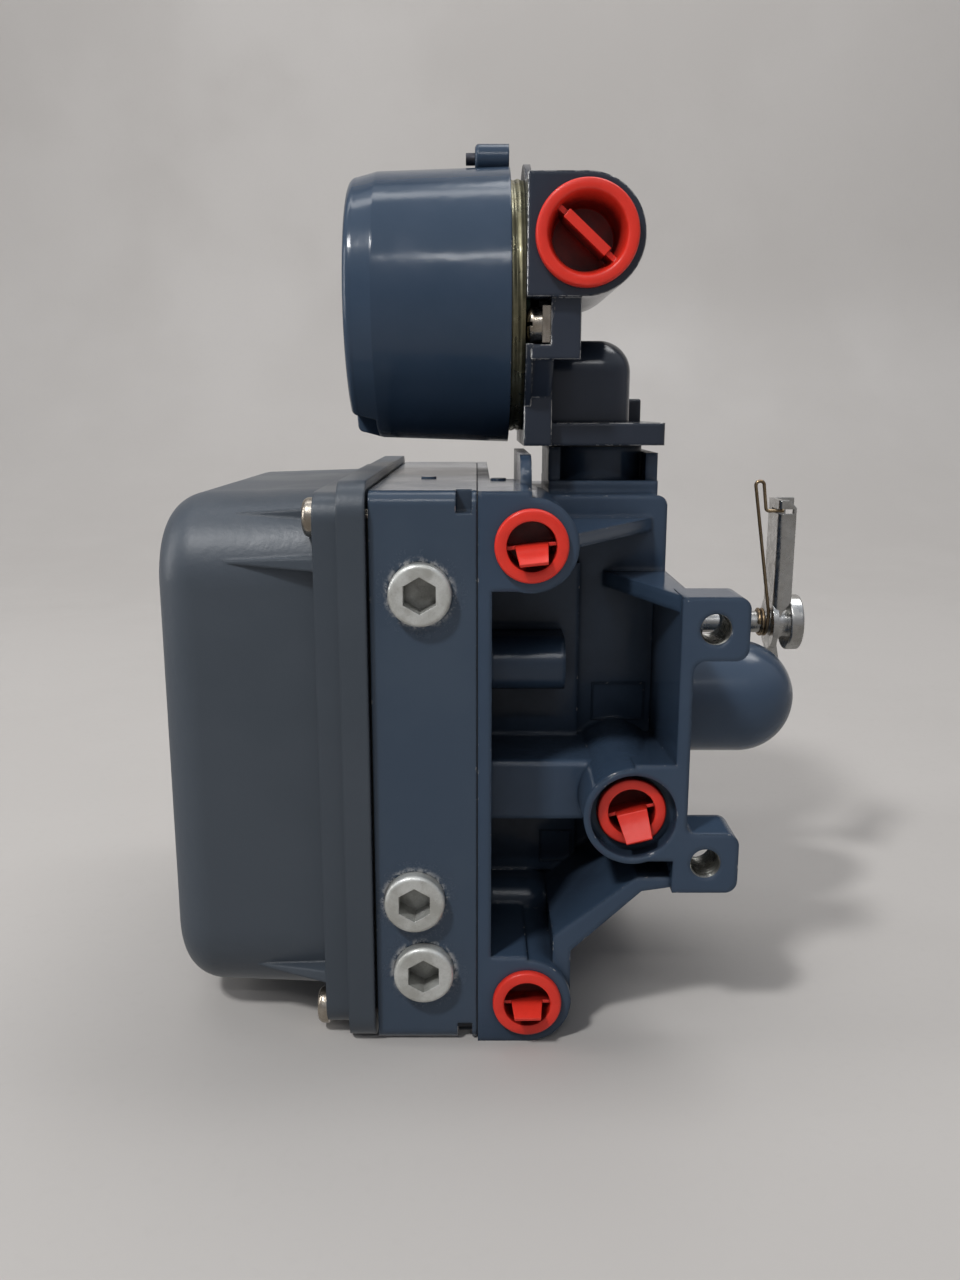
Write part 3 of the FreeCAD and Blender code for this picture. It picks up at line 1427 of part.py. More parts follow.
def cam_profile():
    """Points of the cam's working edge, a roller's radius inside the roller's path."""
    reach = math.radians(cam_reach)
    points = []
    for i in range(cam_steps + 1):
        angle = -reach + 2 * reach * i / cam_steps
        here = roller_in_cam(angle)
        ahead = roller_in_cam(angle + 0.001)
        run = ahead.sub(here).normalize()
        normal = V(0, -run.z, run.y)
        if normal.dot(here) > 0:
            normal = normal.negative()
        points.append(here.add(normal.multiply(roller_r + cam_clearance)))
    return points


def feedback_cam():
    points = cam_profile()
    x0 = mech_x - cam_thickness / 2
    points = [V(x0, shaft_y + p.y, shaft_z + p.z) for p in points]
    spline = Part.BSplineCurve()
    spline.interpolate(points)
    first, last = points[0], points[-1]
    back = V(x0, shaft_y, shaft_z + cam_relief_r)
    left = V(x0, shaft_y - cam_relief_r, shaft_z)
    right = V(x0, shaft_y + cam_relief_r, shaft_z)
    start, end = (left, right) if last.y < first.y else (right, left)
    edges = [spline.toShape(), Part.makeLine(last, start), Part.Arc(start, back, end).toShape(),
             Part.makeLine(end, first)]
    plate = Part.Face(Part.Wire(edges)).extrude(V(cam_thickness, 0, 0))
    hub = rod_x(cam_hub_r, mech_x, mech_x + cam_hub_length, shaft_y, shaft_z)
    ends = (mech_x - cam_thickness, mech_x + cam_hub_length + 1)
    bore = rod_x(shaft_r + running_fit, *ends, shaft_y, shaft_z)
    window = rod_x(cam_window_r, *ends, shaft_y, shaft_z - cam_window_drop)
    return fuse([plate, hub]).cut(bore).cut(window)


def cam_nut():
    x1 = mech_x - cam_thickness / 2
    flats = (shaft_r + cam_nut_width) * math.sqrt(3)
    nut = prism_x(hexagon_points(flats, shaft_y, shaft_z), x1 - cam_nut_length, x1)
    return nut.cut(rod_x(shaft_r + running_fit, x1 - cam_nut_length - 1, x1 + 1, shaft_y, shaft_z))


# Follower arm, roller and range adjuster

def follower_x():
    """The arm lies between the cam's plane and the case, clear of the cam."""
    return mech_x + cam_thickness / 2 + arm_gap


def follower_arm():
    x0 = follower_x()
    x1 = x0 + arm_thickness
    h = arm_height / 2
    arm = box(x0, x1, span_y - arm_end, follower_pivot_y, roller_z - h, roller_z + h)
    boss = rod_x(arm_boss_r, x0, x1, follower_pivot_y, roller_z)
    pad = rod_z(span_pad_r, roller_z - h, roller_z + h, x0 + arm_thickness / 2, span_y)
    pin_end = mech_x - cam_thickness / 2 - roller_pin_end
    roller_pin = rod_x(roller_bore_r - running_fit, pin_end, x0 + arm_thickness / 2, shaft_y, roller_z)
    pin_head = rod_x(roller_bore_r + roller_pin_head_width, pin_end - roller_pin_head, pin_end,
                     shaft_y, roller_z)
    body = fuse([arm, boss, pad, roller_pin, pin_head])
    pivot = rod_x(pivot_pin_r + running_fit, x0 - 1, x1 + 1, follower_pivot_y, roller_z)
    thread = rod_z(span_thread_r + running_fit, roller_z - h - 1, roller_z + h + 1,
                   x0 + arm_thickness / 2, span_y)
    return body.cut(pivot).cut(thread)


def follower_roller():
    x0 = mech_x - roller_length / 2
    return tube_x(roller_r, roller_bore_r, x0, x0 + roller_length, shaft_y, roller_z)


def pivot_pin(y, z, x_face):
    head = rod_x(pivot_head_r, x_face - air_gap - pivot_head, x_face - air_gap, y, z)
    return fuse([rod_x(pivot_pin_r, x_face - air_gap, pivot_pin_end, y, z), head])


def fluted_knob(r, height, z0, x, y):
    knob = rod_z(r, z0, z0 + height, x, y)
    flutes = []
    for i in range(knob_flutes):
        angle = math.radians(360 / knob_flutes * i)
        u = x + r * math.cos(angle)
        v = y + r * math.sin(angle)
        flutes.append(rod_z(flute_r, z0 - 1, z0 + height + 1, u, v))
    return knob.cut(Part.makeCompound(flutes))


def spring_axis_x():
    return follower_x() + arm_thickness / 2


def range_seat_top():
    return roller_z - arm_height / 2 - air_gap


def span_adjuster():
    x = spring_axis_x()
    top = roller_z + arm_height / 2 + air_gap
    knob = fluted_knob(span_head_r, span_head_height, top, x, span_y)
    seat_z = range_seat_top() - spring_pad
    stem = rod_z(span_thread_r, seat_z, top + 1, x, span_y)
    seat = rod_z(spring_pad_r, seat_z, seat_z + spring_pad, x, span_y)
    return fuse([knob, stem, seat])


# Balance beam and what it works

def balance_beam():
    x0 = follower_x()
    x1 = x0 + arm_thickness
    xc = spring_axis_x()
    bar = box(x0, x1, beam_left, beam_right, beam_bottom, beam_top)
    pads = [rod_z(spring_pad_r, beam_top - 1, beam_top + spring_pad, xc, span_y),
            rod_z(spring_pad_r, beam_top - 1, beam_top + spring_pad, xc, zero_y),
            rod_z(rod_r + rod_head_width + beam_button_width, beam_bottom, beam_bottom + beam_button,
                  xc, capsule_y),
            rod_z(spool_r + beam_button_width, beam_bottom, beam_bottom + beam_button, xc, relay_y),
            rod_x(arm_boss_r, x0, x1, beam_pivot_y, beam_z)]
    body = fuse([bar] + pads)
    return body.cut(rod_x(pivot_pin_r + running_fit, x0 - 1, x1 + 1, beam_pivot_y, beam_z))


def coil_spring(r, wire, turns, z0, z1, x, y):
    """A coil spring with its turns spread evenly between two seats."""
    height = z1 - z0 - 2 * wire
    pitch = height / turns
    helix = Part.makeHelix(pitch, height, r)
    profile = Part.Wire(Part.makeCircle(wire, V(r, 0, 0), V(0, 1, 0)))
    coil = Part.Wire(helix.Edges).makePipeShell([profile], True, True)
    coil.translate(V(x, y, z0 + wire))
    return coil


def range_spring():
    z0 = beam_top + spring_pad + air_gap / 2
    z1 = range_seat_top() - spring_pad - air_gap / 2
    return coil_spring(range_spring_r, spring_wire_r, range_spring_turns, z0, z1, spring_axis_x(), span_y)


def zero_seat_bottom():
    return zero_bracket_z - air_gap - spring_pad


def zero_spring():
    z0 = beam_top + spring_pad + air_gap / 2
    z1 = zero_seat_bottom() - air_gap / 2
    return coil_spring(zero_spring_r, spring_wire_r, zero_spring_turns, z0, z1, spring_axis_x(), zero_y)


def zero_bracket():
    """A bracket on the case floor that the zero adjuster is threaded through."""
    x = spring_axis_x()
    w = zero_head_r
    shelf = box(x - w, floor_x, zero_y - w, zero_y + w, zero_bracket_z,
                zero_bracket_z + zero_bracket_thickness)
    foot = box(floor_x - zero_foot, floor_x, zero_y - w, zero_y + w, zero_bracket_z,
               zero_bracket_z + zero_foot_height)
    body = fuse([shelf, foot])
    return body.cut(rod_z(zero_thread_r + running_fit, zero_bracket_z - 1,
                          zero_bracket_z + zero_bracket_thickness + 1, x, zero_y))


def zero_adjuster():
    x = spring_axis_x()
    top = zero_bracket_z + zero_bracket_thickness + air_gap
    knob = fluted_knob(zero_head_r, zero_head_height, top, x, zero_y)
    stem = rod_z(zero_thread_r, zero_seat_bottom(), top + 1, x, zero_y)
    seat = rod_z(spring_pad_r - zero_pad_inset, zero_seat_bottom(), zero_seat_bottom() + spring_pad,
                 x, zero_y)
    return fuse([knob, stem, seat])


def input_capsule():
    """The diaphragm capsule whose pressure balances the beam."""
    x = spring_axis_x()
    z0 = capsule_z
    body = rod_z(capsule_r - capsule_body_inset, z0 - capsule_foot, z0 + capsule_height, x, capsule_y)
    rim = rod_z(capsule_r, z0 + capsule_height / 2 - capsule_rim / 2,
                z0 + capsule_height / 2 + capsule_rim / 2, x, capsule_y)
    bracket = box(x, floor_x, capsule_y - capsule_bracket_half, capsule_y + capsule_bracket_half,
                  z0 - capsule_foot, z0 + capsule_foot)
    body = fuse([body, rim, bracket])
    bore = rod_z(rod_r + running_fit, z0 + capsule_bore_start, z0 + capsule_height + 1, x, capsule_y)
    return body.cut(bore)


def capsule_rod():
    x = spring_axis_x()
    top = beam_bottom - air_gap / 2
    stem = rod_z(rod_r, capsule_z + rod_start, top, x, capsule_y)
    return fuse([stem, rod_z(rod_r + rod_head_width, top - rod_head, top, x, capsule_y)])


def relay_bounds():
    return case_end_wall + relay_lift, beam_bottom - relay_gap


def relay_body():
    z0, z1 = relay_bounds()
    x = spring_axis_x()
    body = box(relay_front, floor_x, relay_y - relay_half_width, relay_y + relay_half_width, z0, z1)
    body = body.makeFillet(relay_edge_r, edges_where(body, lambda b: b.XMax < relay_front + 0.01))
    return body.cut(rod_z(spool_r + running_fit, z0 - 1, z1 + 1, x, relay_y))


def relay_screws():
    z0, z1 = relay_bounds()
    screws = []
    dy = relay_half_width - relay_screw_inset_y
    for y in (relay_y - dy, relay_y + dy):
        for z in (z0 + relay_screw_inset_z, z1 - relay_screw_inset_z):
            head = rod_x(relay_screw_r, relay_front - relay_screw_head, relay_front, y, z)
            socket_end = relay_front - relay_screw_head + relay_socket
            socket = rod_x(relay_socket_r, relay_front - relay_screw_head - 1, socket_end, y, z)
            screws.append(head.cut(socket))
    return Part.makeCompound(screws)


def relay_spool():
    z0, z1 = relay_bounds()
    x = spring_axis_x()
    top = beam_bottom - air_gap / 2
    spool = rod_z(spool_r, z0 + spool_start, top, x, relay_y)
    for i in range(2):
        z = z0 + spool_groove_start + i * spool_groove_pitch
        core = rod_z(spool_r - spool_groove_depth, z - 1, z + spool_groove + 1, x, relay_y)
        spool = spool.cut(rod_z(spool_r + 1, z, z + spool_groove, x, relay_y).cut(core))
    return spool


def main():
    os.makedirs("parts", exist_ok=True)
    nodes = {
        "front_cover": front_cover(), "cover_screws": cover_screws(), "cover_seal": cover_seal(),
        "case_block": case_block(), "case_screws": case_screws(), "joint_gasket": joint_gasket(),
        "manifold_casting": manifold_casting(), "base_seal": base_seal_sheet(),
        "converter_bonnet": converter_bonnet(), "base_screws": base_screws(),
        "pivot_posts": pivot_posts(),
        "converter_yoke": converter_yoke(), "converter_coil": converter_coil(), "armature": armature(),
        "nozzle": nozzle(), "terminal_housing": terminal_housing(), "threaded_collar": threaded_collar(),
        "terminal_cap": terminal_cap(), "cap_ring": cap_ring(), "lock_screw": lock_screw(),
        "ground_washers": ground_washers(), "ground_screw": ground_screw(),
        "circuit_board": circuit_board(), "board_spacers": board_spacers(),
        "terminal_block": terminal_block(), "terminal_screws": terminal_screws(),
        "supply_plug": air_plug(supply_x, supply_z, port_y + supply_recess_depth, supply_tab_angle),
        "upper_output_plug": air_plug(port_boss_x, top_port_z, port_y, upper_tab_angle),
        "lower_output_plug": air_plug(port_boss_x, port_boss_r, port_y, lower_tab_angle),
        "conduit_plug": conduit_plug(), "shaft_bushings": shaft_bushings(),
        "feedback_shaft": feedback_shaft(), "feedback_lever": feedback_lever(), "lever_hub": lever_hub(),
        "lever_nut": lever_nut(), "bias_wire": bias_wire(), "feedback_cam": feedback_cam(),
        "cam_nut": cam_nut(), "follower_arm": follower_arm(), "follower_roller": follower_roller(),
        "follower_pivot_pin": pivot_pin(follower_pivot_y, roller_z, follower_x()),
        "beam_pivot_pin": pivot_pin(beam_pivot_y, beam_z, follower_x()),
        "span_adjuster": span_adjuster(), "balance_beam": balance_beam(), "range_spring": range_spring(),
        "zero_spring": zero_spring(), "zero_bracket": zero_bracket(), "zero_adjuster": zero_adjuster(),
        "input_capsule": input_capsule(), "capsule_rod": capsule_rod(), "relay_body": relay_body(),
        "relay_screws": relay_screws(), "relay_spool": relay_spool()}
    for i, (x, z) in enumerate(gauge_plug_places):
        nodes[f"gauge_plug_{i + 1}"] = gauge_plug(x, z)
    for name, shape in nodes.items():
        shape.exportStep(f"parts/{name}.step")
        print(name, len(shape.Solids), "solids", round(shape.Volume), "mm3", shape.isValid())


if __name__ == "__main__":
    main()
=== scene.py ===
# %% [markdown]
# An electro-pneumatic valve positioner
#
# A positioner is a painted cast box that sits beside a control valve. Air goes in at the lower
# port, comes out at two others, and a lever on a shaft tells it where the valve stands. This
# lesson dresses its exact CAD solids for a photograph: rounded, chipped enamel, plated screws,
# red moulded plugs and a bent steel lever.

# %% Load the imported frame
import json
import math

import bmesh
import bpy
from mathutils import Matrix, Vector


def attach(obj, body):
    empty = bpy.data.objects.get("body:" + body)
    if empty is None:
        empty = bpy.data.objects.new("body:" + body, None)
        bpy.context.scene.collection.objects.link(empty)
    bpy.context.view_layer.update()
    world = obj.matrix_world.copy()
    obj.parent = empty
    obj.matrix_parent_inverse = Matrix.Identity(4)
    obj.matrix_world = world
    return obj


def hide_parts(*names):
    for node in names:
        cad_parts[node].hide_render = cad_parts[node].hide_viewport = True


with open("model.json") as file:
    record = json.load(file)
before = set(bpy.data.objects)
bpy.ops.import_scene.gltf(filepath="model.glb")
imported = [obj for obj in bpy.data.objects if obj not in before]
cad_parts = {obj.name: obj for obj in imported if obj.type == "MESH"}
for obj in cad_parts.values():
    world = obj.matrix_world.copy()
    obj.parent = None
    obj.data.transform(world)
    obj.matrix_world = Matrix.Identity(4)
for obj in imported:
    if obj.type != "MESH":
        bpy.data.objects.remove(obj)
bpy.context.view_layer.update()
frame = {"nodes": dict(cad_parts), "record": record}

MM = 0.001
nodes = frame["nodes"]

# %% [markdown]
# The camera stands where the photographer stood: level with the middle of the object, close to
# its port side, looking down by about twelve degrees. A short lens close to the object gives
# the strong perspective that makes the case look larger at the front. Matching this first
# means that every later picture can be laid beside the photograph.

# %% Camera
CAMERA_PLACE = Vector((0.0, -293.5, 145.0)) * MM
LOOK_DOWN = 12.1
LENS = 30.375
PICTURE_HEIGHT = 1280
SIDE_STEP = 3.5             # pixels by which the joint plane stands left of the middle

camera_data = bpy.data.cameras.new("camera")
camera_data.lens = LENS
camera_data.shift_x = SIDE_STEP / PICTURE_HEIGHT
camera_data.clip_start = 0.01
camera = bpy.data.objects.new("camera", camera_data)
camera.location = CAMERA_PLACE
camera.rotation_euler = (math.radians(90 - LOOK_DOWN), 0, 0)
bpy.context.scene.collection.objects.link(camera)
bpy.context.scene.camera = camera
bpy.context.scene.view_settings.view_transform = "Standard"
print("camera at", tuple(round(v, 4) for v in camera.location), "lens", LENS)

# %% [markdown]
# Materials are built from small node groups, because the same effects come back on most of
# the surfaces: colour that drifts over a few millimetres, a fine grain, an edge that paint has
# left, a film of dust. A group holds the effect once, and each material sets it its own way.
# The groups read object coordinates, which are metres here, so a scale of 1000 means a
# feature of about one millimetre.

# %% Helpers for node trees
def effect(name, inputs, outputs):
    """An empty node group with named inputs (with their defaults) and outputs."""
    tree = bpy.data.node_groups.new(name, "ShaderNodeTree")
    for label, kind, value in inputs:
        socket = tree.interface.new_socket(label, in_out="INPUT", socket_type=kind)
        socket.default_value = value
    for label, kind in outputs:
        tree.interface.new_socket(label, in_out="OUTPUT", socket_type=kind)
    return tree, tree.nodes.new("NodeGroupInput").outputs, tree.nodes.new("NodeGroupOutput").inputs


def join(tree, source, target):
    """Sets a socket from another socket, or from a plain value."""
    if isinstance(source, bpy.types.NodeSocket):
        tree.links.new(source, target)
    else:
        target.default_value = source


def math_node(tree, operation, a, b=0.0, clamp=False):
    node = tree.nodes.new("ShaderNodeMath")
    node.operation = operation
    node.use_clamp = clamp
    join(tree, a, node.inputs[0])
    join(tree, b, node.inputs[1])
    return node.outputs[0]


def spread(tree, value, low, high, to_low=0.0, to_high=1.0):
    """Maps low..high smoothly on to_low..to_high."""
    node = tree.nodes.new("ShaderNodeMapRange")
    node.interpolation_type = "SMOOTHSTEP"
    for socket, item in zip(node.inputs, (value, low, high, to_low, to_high)):
        join(tree, item, socket)
    return node.outputs[0]


def blend_colours(tree, share, first, second):
    node = tree.nodes.new("ShaderNodeMix")
    node.data_type = "RGBA"
    join(tree, share, node.inputs["Factor"])
    join(tree, first, node.inputs[6])
    join(tree, second, node.inputs[7])
    return node.outputs[2]


def own_place(tree, stretch=None):
    """Object coordinates in metres, stretched along the axes if asked."""
    place = tree.nodes.new("ShaderNodeTexCoord").outputs["Object"]
    if stretch is None:
        return place
    mapping = tree.nodes.new("ShaderNodeMapping")
    join(tree, place, mapping.inputs["Vector"])
    join(tree, stretch, mapping.inputs["Scale"])
    return mapping.outputs[0]


def noise(tree, place, scale, detail=2.0, roughness=0.55):
    node = tree.nodes.new("ShaderNodeTexNoise")
    join(tree, place, node.inputs["Vector"])
    join(tree, scale, node.inputs["Scale"])
    node.inputs["Detail"].default_value = detail
    node.inputs["Roughness"].default_value = roughness
    return node.outputs[0]


FLOAT, COLOUR, VECTOR = "NodeSocketFloat", "NodeSocketColor", "NodeSocketVector"

# %% [markdown]
# No painted or plated surface has one colour all over. Paint flows thicker and thinner, and
# metal is handled. Two noises, one broad and one fine, drift between two near colours.

# %% Colour that drifts
def make_drift():
    tree, given, out = effect("colour_drift", [
        ("Colour", COLOUR, (0.5, 0.5, 0.5, 1)), ("Second Colour", COLOUR, (0.4, 0.4, 0.4, 1)),
        ("Scale", FLOAT, 60.0), ("Speck Scale", FLOAT, 1200.0), ("Speck", FLOAT, 0.2)],
        [("Colour", COLOUR), ("Tone", FLOAT)])
    place = own_place(tree)
    broad = spread(tree, noise(tree, place, given["Scale"], 4.0), 0.35, 0.68)
    fine = spread(tree, noise(tree, place, given["Speck Scale"], 1.0), 0.55, 0.75)
    share = math_node(tree, "ADD", broad, math_node(tree, "MULTIPLY", fine, given["Speck"]), True)
    join(tree, blend_colours(tree, share, given["Colour"], given["Second Colour"]), out["Colour"])
    join(tree, share, out["Tone"])
    return tree


drift = make_drift()
print("group", drift.name, len(drift.nodes), "nodes")

# %% [markdown]
# Sprayed enamel dries with a faint orange peel, and moulded or cast skins show a finer grain.
# Both are heights for a Bump node, so they bend the highlights without any extra mesh.

# %% Grain
def make_grain():
    tree, given, out = effect("surface_grain", [
        ("Peel Scale", FLOAT, 350.0), ("Grain Scale", FLOAT, 1800.0), ("Grain Share", FLOAT, 0.3)],
        [("Height", FLOAT)])
    place = own_place(tree)
    peel = noise(tree, place, given["Peel Scale"], 1.0)
    grain = noise(tree, place, given["Grain Scale"], 2.0)
    grain = math_node(tree, "MULTIPLY", grain, given["Grain Share"])
    join(tree, math_node(tree, "ADD", peel, grain), out["Height"])
    return tree


grain = make_grain()
print("group", grain.name, len(grain.nodes), "nodes")

# %% [markdown]
# A casting has no sharp edges: the mould rounds them and paint rounds them more. The Bevel
# node gives the normal that a rounded edge would have, so a sharp CAD edge catches the light as
# a soft line. The same node tells where an edge is: where its normal differs from the real one.
# There the paint chips first, in patches that a noise picks.

# %% Rounded and rubbed edges
BEVEL_SAMPLES = 4
EDGE_TURN = (0.03, 0.12)            # 1 - cosine of the turn that starts and completes an edge
PATCH_LIMIT, PATCH_GAIN, PATCH_RIM = 0.78, 0.4, 0.05    # noise level of a patch, and its softness


def make_rounded():
    tree, given, out = effect("rounded_edges", [("Radius", FLOAT, 0.8 * MM)], [("Normal", VECTOR)])
    bevel = tree.nodes.new("ShaderNodeBevel")
    bevel.samples = BEVEL_SAMPLES
    join(tree, given["Radius"], bevel.inputs["Radius"])
    join(tree, bevel.outputs[0], out["Normal"])
    return tree


def make_rubbed():
    tree, given, out = effect("rubbed_edges", [
        ("Radius", FLOAT, 0.5 * MM), ("Patch Scale", FLOAT, 160.0), ("Amount", FLOAT, 0.5)],
        [("Mask", FLOAT)])
    bevel = tree.nodes.new("ShaderNodeBevel")
    bevel.samples = BEVEL_SAMPLES
    join(tree, given["Radius"], bevel.inputs["Radius"])
    dot = tree.nodes.new("ShaderNodeVectorMath")
    dot.operation = "DOT_PRODUCT"
    join(tree, bevel.outputs[0], dot.inputs[0])
    join(tree, tree.nodes.new("ShaderNodeNewGeometry").outputs["Normal"], dot.inputs[1])
    leaning = math_node(tree, "SUBTRACT", 1.0, dot.outputs["Value"])
    edge = spread(tree, leaning, *EDGE_TURN)
    patch = noise(tree, own_place(tree), given["Patch Scale"], 5.0, 0.7)
    lowered = math_node(tree, "MULTIPLY", given["Amount"], PATCH_GAIN)
    limit = math_node(tree, "SUBTRACT", PATCH_LIMIT, lowered)
    patch = spread(tree, patch, limit, math_node(tree, "ADD", limit, PATCH_RIM))
    join(tree, math_node(tree, "MULTIPLY", edge, patch, True), out["Mask"])
    return tree


rounded = make_rounded()
rubbed = make_rubbed()
print("groups", rounded.name, rubbed.name)

# %% [markdown]
# Dust settles on what faces up: a mask from the upward part of the normal, broken by noise.
# Where a spanner has turned in a port, the paint round it is bruised: a ring-shaped mask takes
# the distance from the port's axis on the port side, and a noise frays it. Painted shade darkens
# the surfaces that see little sky: the ambient occlusion of a surface is its mask.

# %% Dust, bruised rings and painted shade
def make_dust():
    tree, given, out = effect("dust_film", [("Scale", FLOAT, 220.0), ("Amount", FLOAT, 0.3)],
                              [("Mask", FLOAT)])
    up = tree.nodes.new("ShaderNodeSeparateXYZ")
    join(tree, tree.nodes.new("ShaderNodeNewGeometry").outputs["Normal"], up.inputs[0])
    facing = spread(tree, up.outputs["Z"], 0.2, 1.0)
    cloud = spread(tree, noise(tree, own_place(tree), given["Scale"], 5.0, 0.7), 0.35, 0.8)
    dust_and_shade_film = math_node(tree, "MULTIPLY", facing, cloud)
    join(tree, math_node(tree, "MULTIPLY", dust_and_shade_film, given["Amount"], True), out["Mask"])
    return tree


PORT_SIDE = (-62 * MM, -58 * MM)    # Y where the bruise is whole, and where it has ended


def make_bruise():
    tree, given, out = effect("bruised_ring", [
        ("Centre", VECTOR, (0, 0, 0)), ("Inner", FLOAT, 7 * MM), ("Outer", FLOAT, 9 * MM)],
        [("Mask", FLOAT)])
    away = tree.nodes.new("ShaderNodeVectorMath")
    away.operation = "SUBTRACT"
    join(tree, own_place(tree), away.inputs[0])
    join(tree, given["Centre"], away.inputs[1])
    flat = tree.nodes.new("ShaderNodeVectorMath")
    flat.operation = "MULTIPLY"
    join(tree, away.outputs[0], flat.inputs[0])
    flat.inputs[1].default_value = (1, 0, 1)
    size = tree.nodes.new("ShaderNodeVectorMath")
    size.operation = "LENGTH"
    join(tree, flat.outputs[0], size.inputs[0])
    ring = spread(tree, size.outputs["Value"], given["Inner"], given["Outer"], 1.0, 0.0)
    side = tree.nodes.new("ShaderNodeSeparateXYZ")
    join(tree, away.outputs[0], side.inputs[0])
    near = spread(tree, side.outputs["Y"], *PORT_SIDE, 1.0, 0.0)
    ragged = spread(tree, noise(tree, own_place(tree), 650.0, 4.0, 0.75), 0.42, 0.62)
    ragged = math_node(tree, "MULTIPLY", ragged, near)
    join(tree, math_node(tree, "MULTIPLY", ring, ragged, True), out["Mask"])
    return tree


OPEN_SKY = (0.20, 0.72)             # share of open sky with full painted shade, and with none


# Painted shade: recesses that see little open sky are darkened, and a noise breaks it up.
def make_recess_shade():
    tree, given, out = effect("recess_grime", [("Reach", FLOAT, 25 * MM), ("Amount", FLOAT, 0.6)],
                              [("Mask", FLOAT)])
    open_sky = tree.nodes.new("ShaderNodeAmbientOcclusion")
    open_sky.samples = 8
    join(tree, given["Reach"], open_sky.inputs["Distance"])
    hollow_shade = spread(tree, open_sky.outputs["AO"], *OPEN_SKY, 1.0, 0.0)
    cloud = spread(tree, noise(tree, own_place(tree), 120.0, 4.0, 0.6), 0.2, 0.7, 0.7, 1.0)
    dust_and_shade_film = math_node(tree, "MULTIPLY", hollow_shade, cloud)
    join(tree, math_node(tree, "MULTIPLY", dust_and_shade_film, given["Amount"], True), out["Mask"])
    return tree


dust = make_dust()
bruise = make_bruise()
recess_shade = make_recess_shade()
print("groups", dust.name, bruise.name, recess_shade.name)

# %% [markdown]
# Turned, rolled and brushed metal keeps the direction of the tool: its noise is stretched
# along one axis and stays fine across it.

# %% Tool marks
def make_tool_marks():
    tree, given, out = effect("tool_marks", [
        ("Stretch", VECTOR, (3000.0, 60.0, 60.0)), ("Smudge Scale", FLOAT, 250.0)],
        [("Height", FLOAT), ("Smudge", FLOAT)])
    join(tree, noise(tree, own_place(tree, given["Stretch"]), 1.0, 3.0), out["Height"])
    smudge = noise(tree, own_place(tree), given["Smudge Scale"], 4.0, 0.65)
    join(tree, spread(tree, smudge, 0.3, 0.7), out["Smudge"])
    return tree


tool_marks = make_tool_marks()
print("group", tool_marks.name)

# %% [markdown]
# A material starts as a Principled shader, takes its effects from the groups, and goes into the
# slots of the CAD nodes. The solids themselves are never touched.

# %% Helpers for materials
def start_material(name, roughness, metallic=0.0):
    """A material with its Principled shader, and a function that places a group in it."""
    material = bpy.data.materials.new(name)
    material.use_nodes = True
    tree = material.node_tree
    shader = tree.nodes["Principled BSDF"]
    shader.inputs["Roughness"].default_value = roughness
    shader.inputs["Metallic"].default_value = metallic

    def place(group, **values):
        node = tree.nodes.new("ShaderNodeGroup")
        node.node_tree = group
        for label, value in values.items():
            join(tree, value, node.inputs[label.replace("_", " ")])
        return node.outputs

    return material, tree, shader, place


def add_bump(tree, shader, height, distance, normal):
    """Lays a height over a normal; distance is how far a height of 1 stands out."""
    bump = tree.nodes.new("ShaderNodeBump")
    bump.inputs["Distance"].default_value = distance
    join(tree, height, bump.inputs["Height"])
    join(tree, normal, bump.inputs["Normal"])
    join(tree, bump.outputs[0], shader.inputs["Normal"])


def finish_node(material, *names):
    """Puts a material in the slots of CAD nodes."""
    for name in names:
        for slot in nodes[name].material_slots:
            slot.material = material


def rgb(red, green, blue):
    return (red, green, blue, 1.0)


print("material helpers ready")

# %% [markdown]
# The case, manifold, terminal box and hood are aluminium castings under a slate enamel with a
# fair gloss. The recipe is the same for all of them: drifting colour, orange peel, rounded
# edges, paint that has chipped to bright metal on the edges, and a matt painted shade in the
# recesses, which the gloss doesn't reach. Only the case has dust and bruised ports. What
# changes besides is how worn each one is and how much painted shade its recesses get; the hood
# shares the terminal box's darker enamel as painted shade under the box.

# %% Enamel on the castings
BARE_EDGE = rgb(0.78, 0.77, 0.75)
DUST = rgb(0.20, 0.19, 0.18)
# Colour and reach of the painted shade laid in the recesses.
SHADE_COLOUR = rgb(0.015, 0.019, 0.028)
SHADE_REACH = 28 * MM
GAUGE_PORTS = ((-12.1, 106.2), (-14.0, 35.6), (-12.1, 18.1))      # X and Z of their axes, in mm
CHIPPED = {"Inner": 6.9 * MM, "Outer": 8.3 * MM}
SMEARED = {"Inner": 7.2 * MM, "Outer": 12.5 * MM}
CHIP_SHARE, SMEAR_DULLS, SMEAR_RISES = 0.55, 0.25, 0.8
DUST_DULLS, BARE_METALLIC = 0.3, 0.4


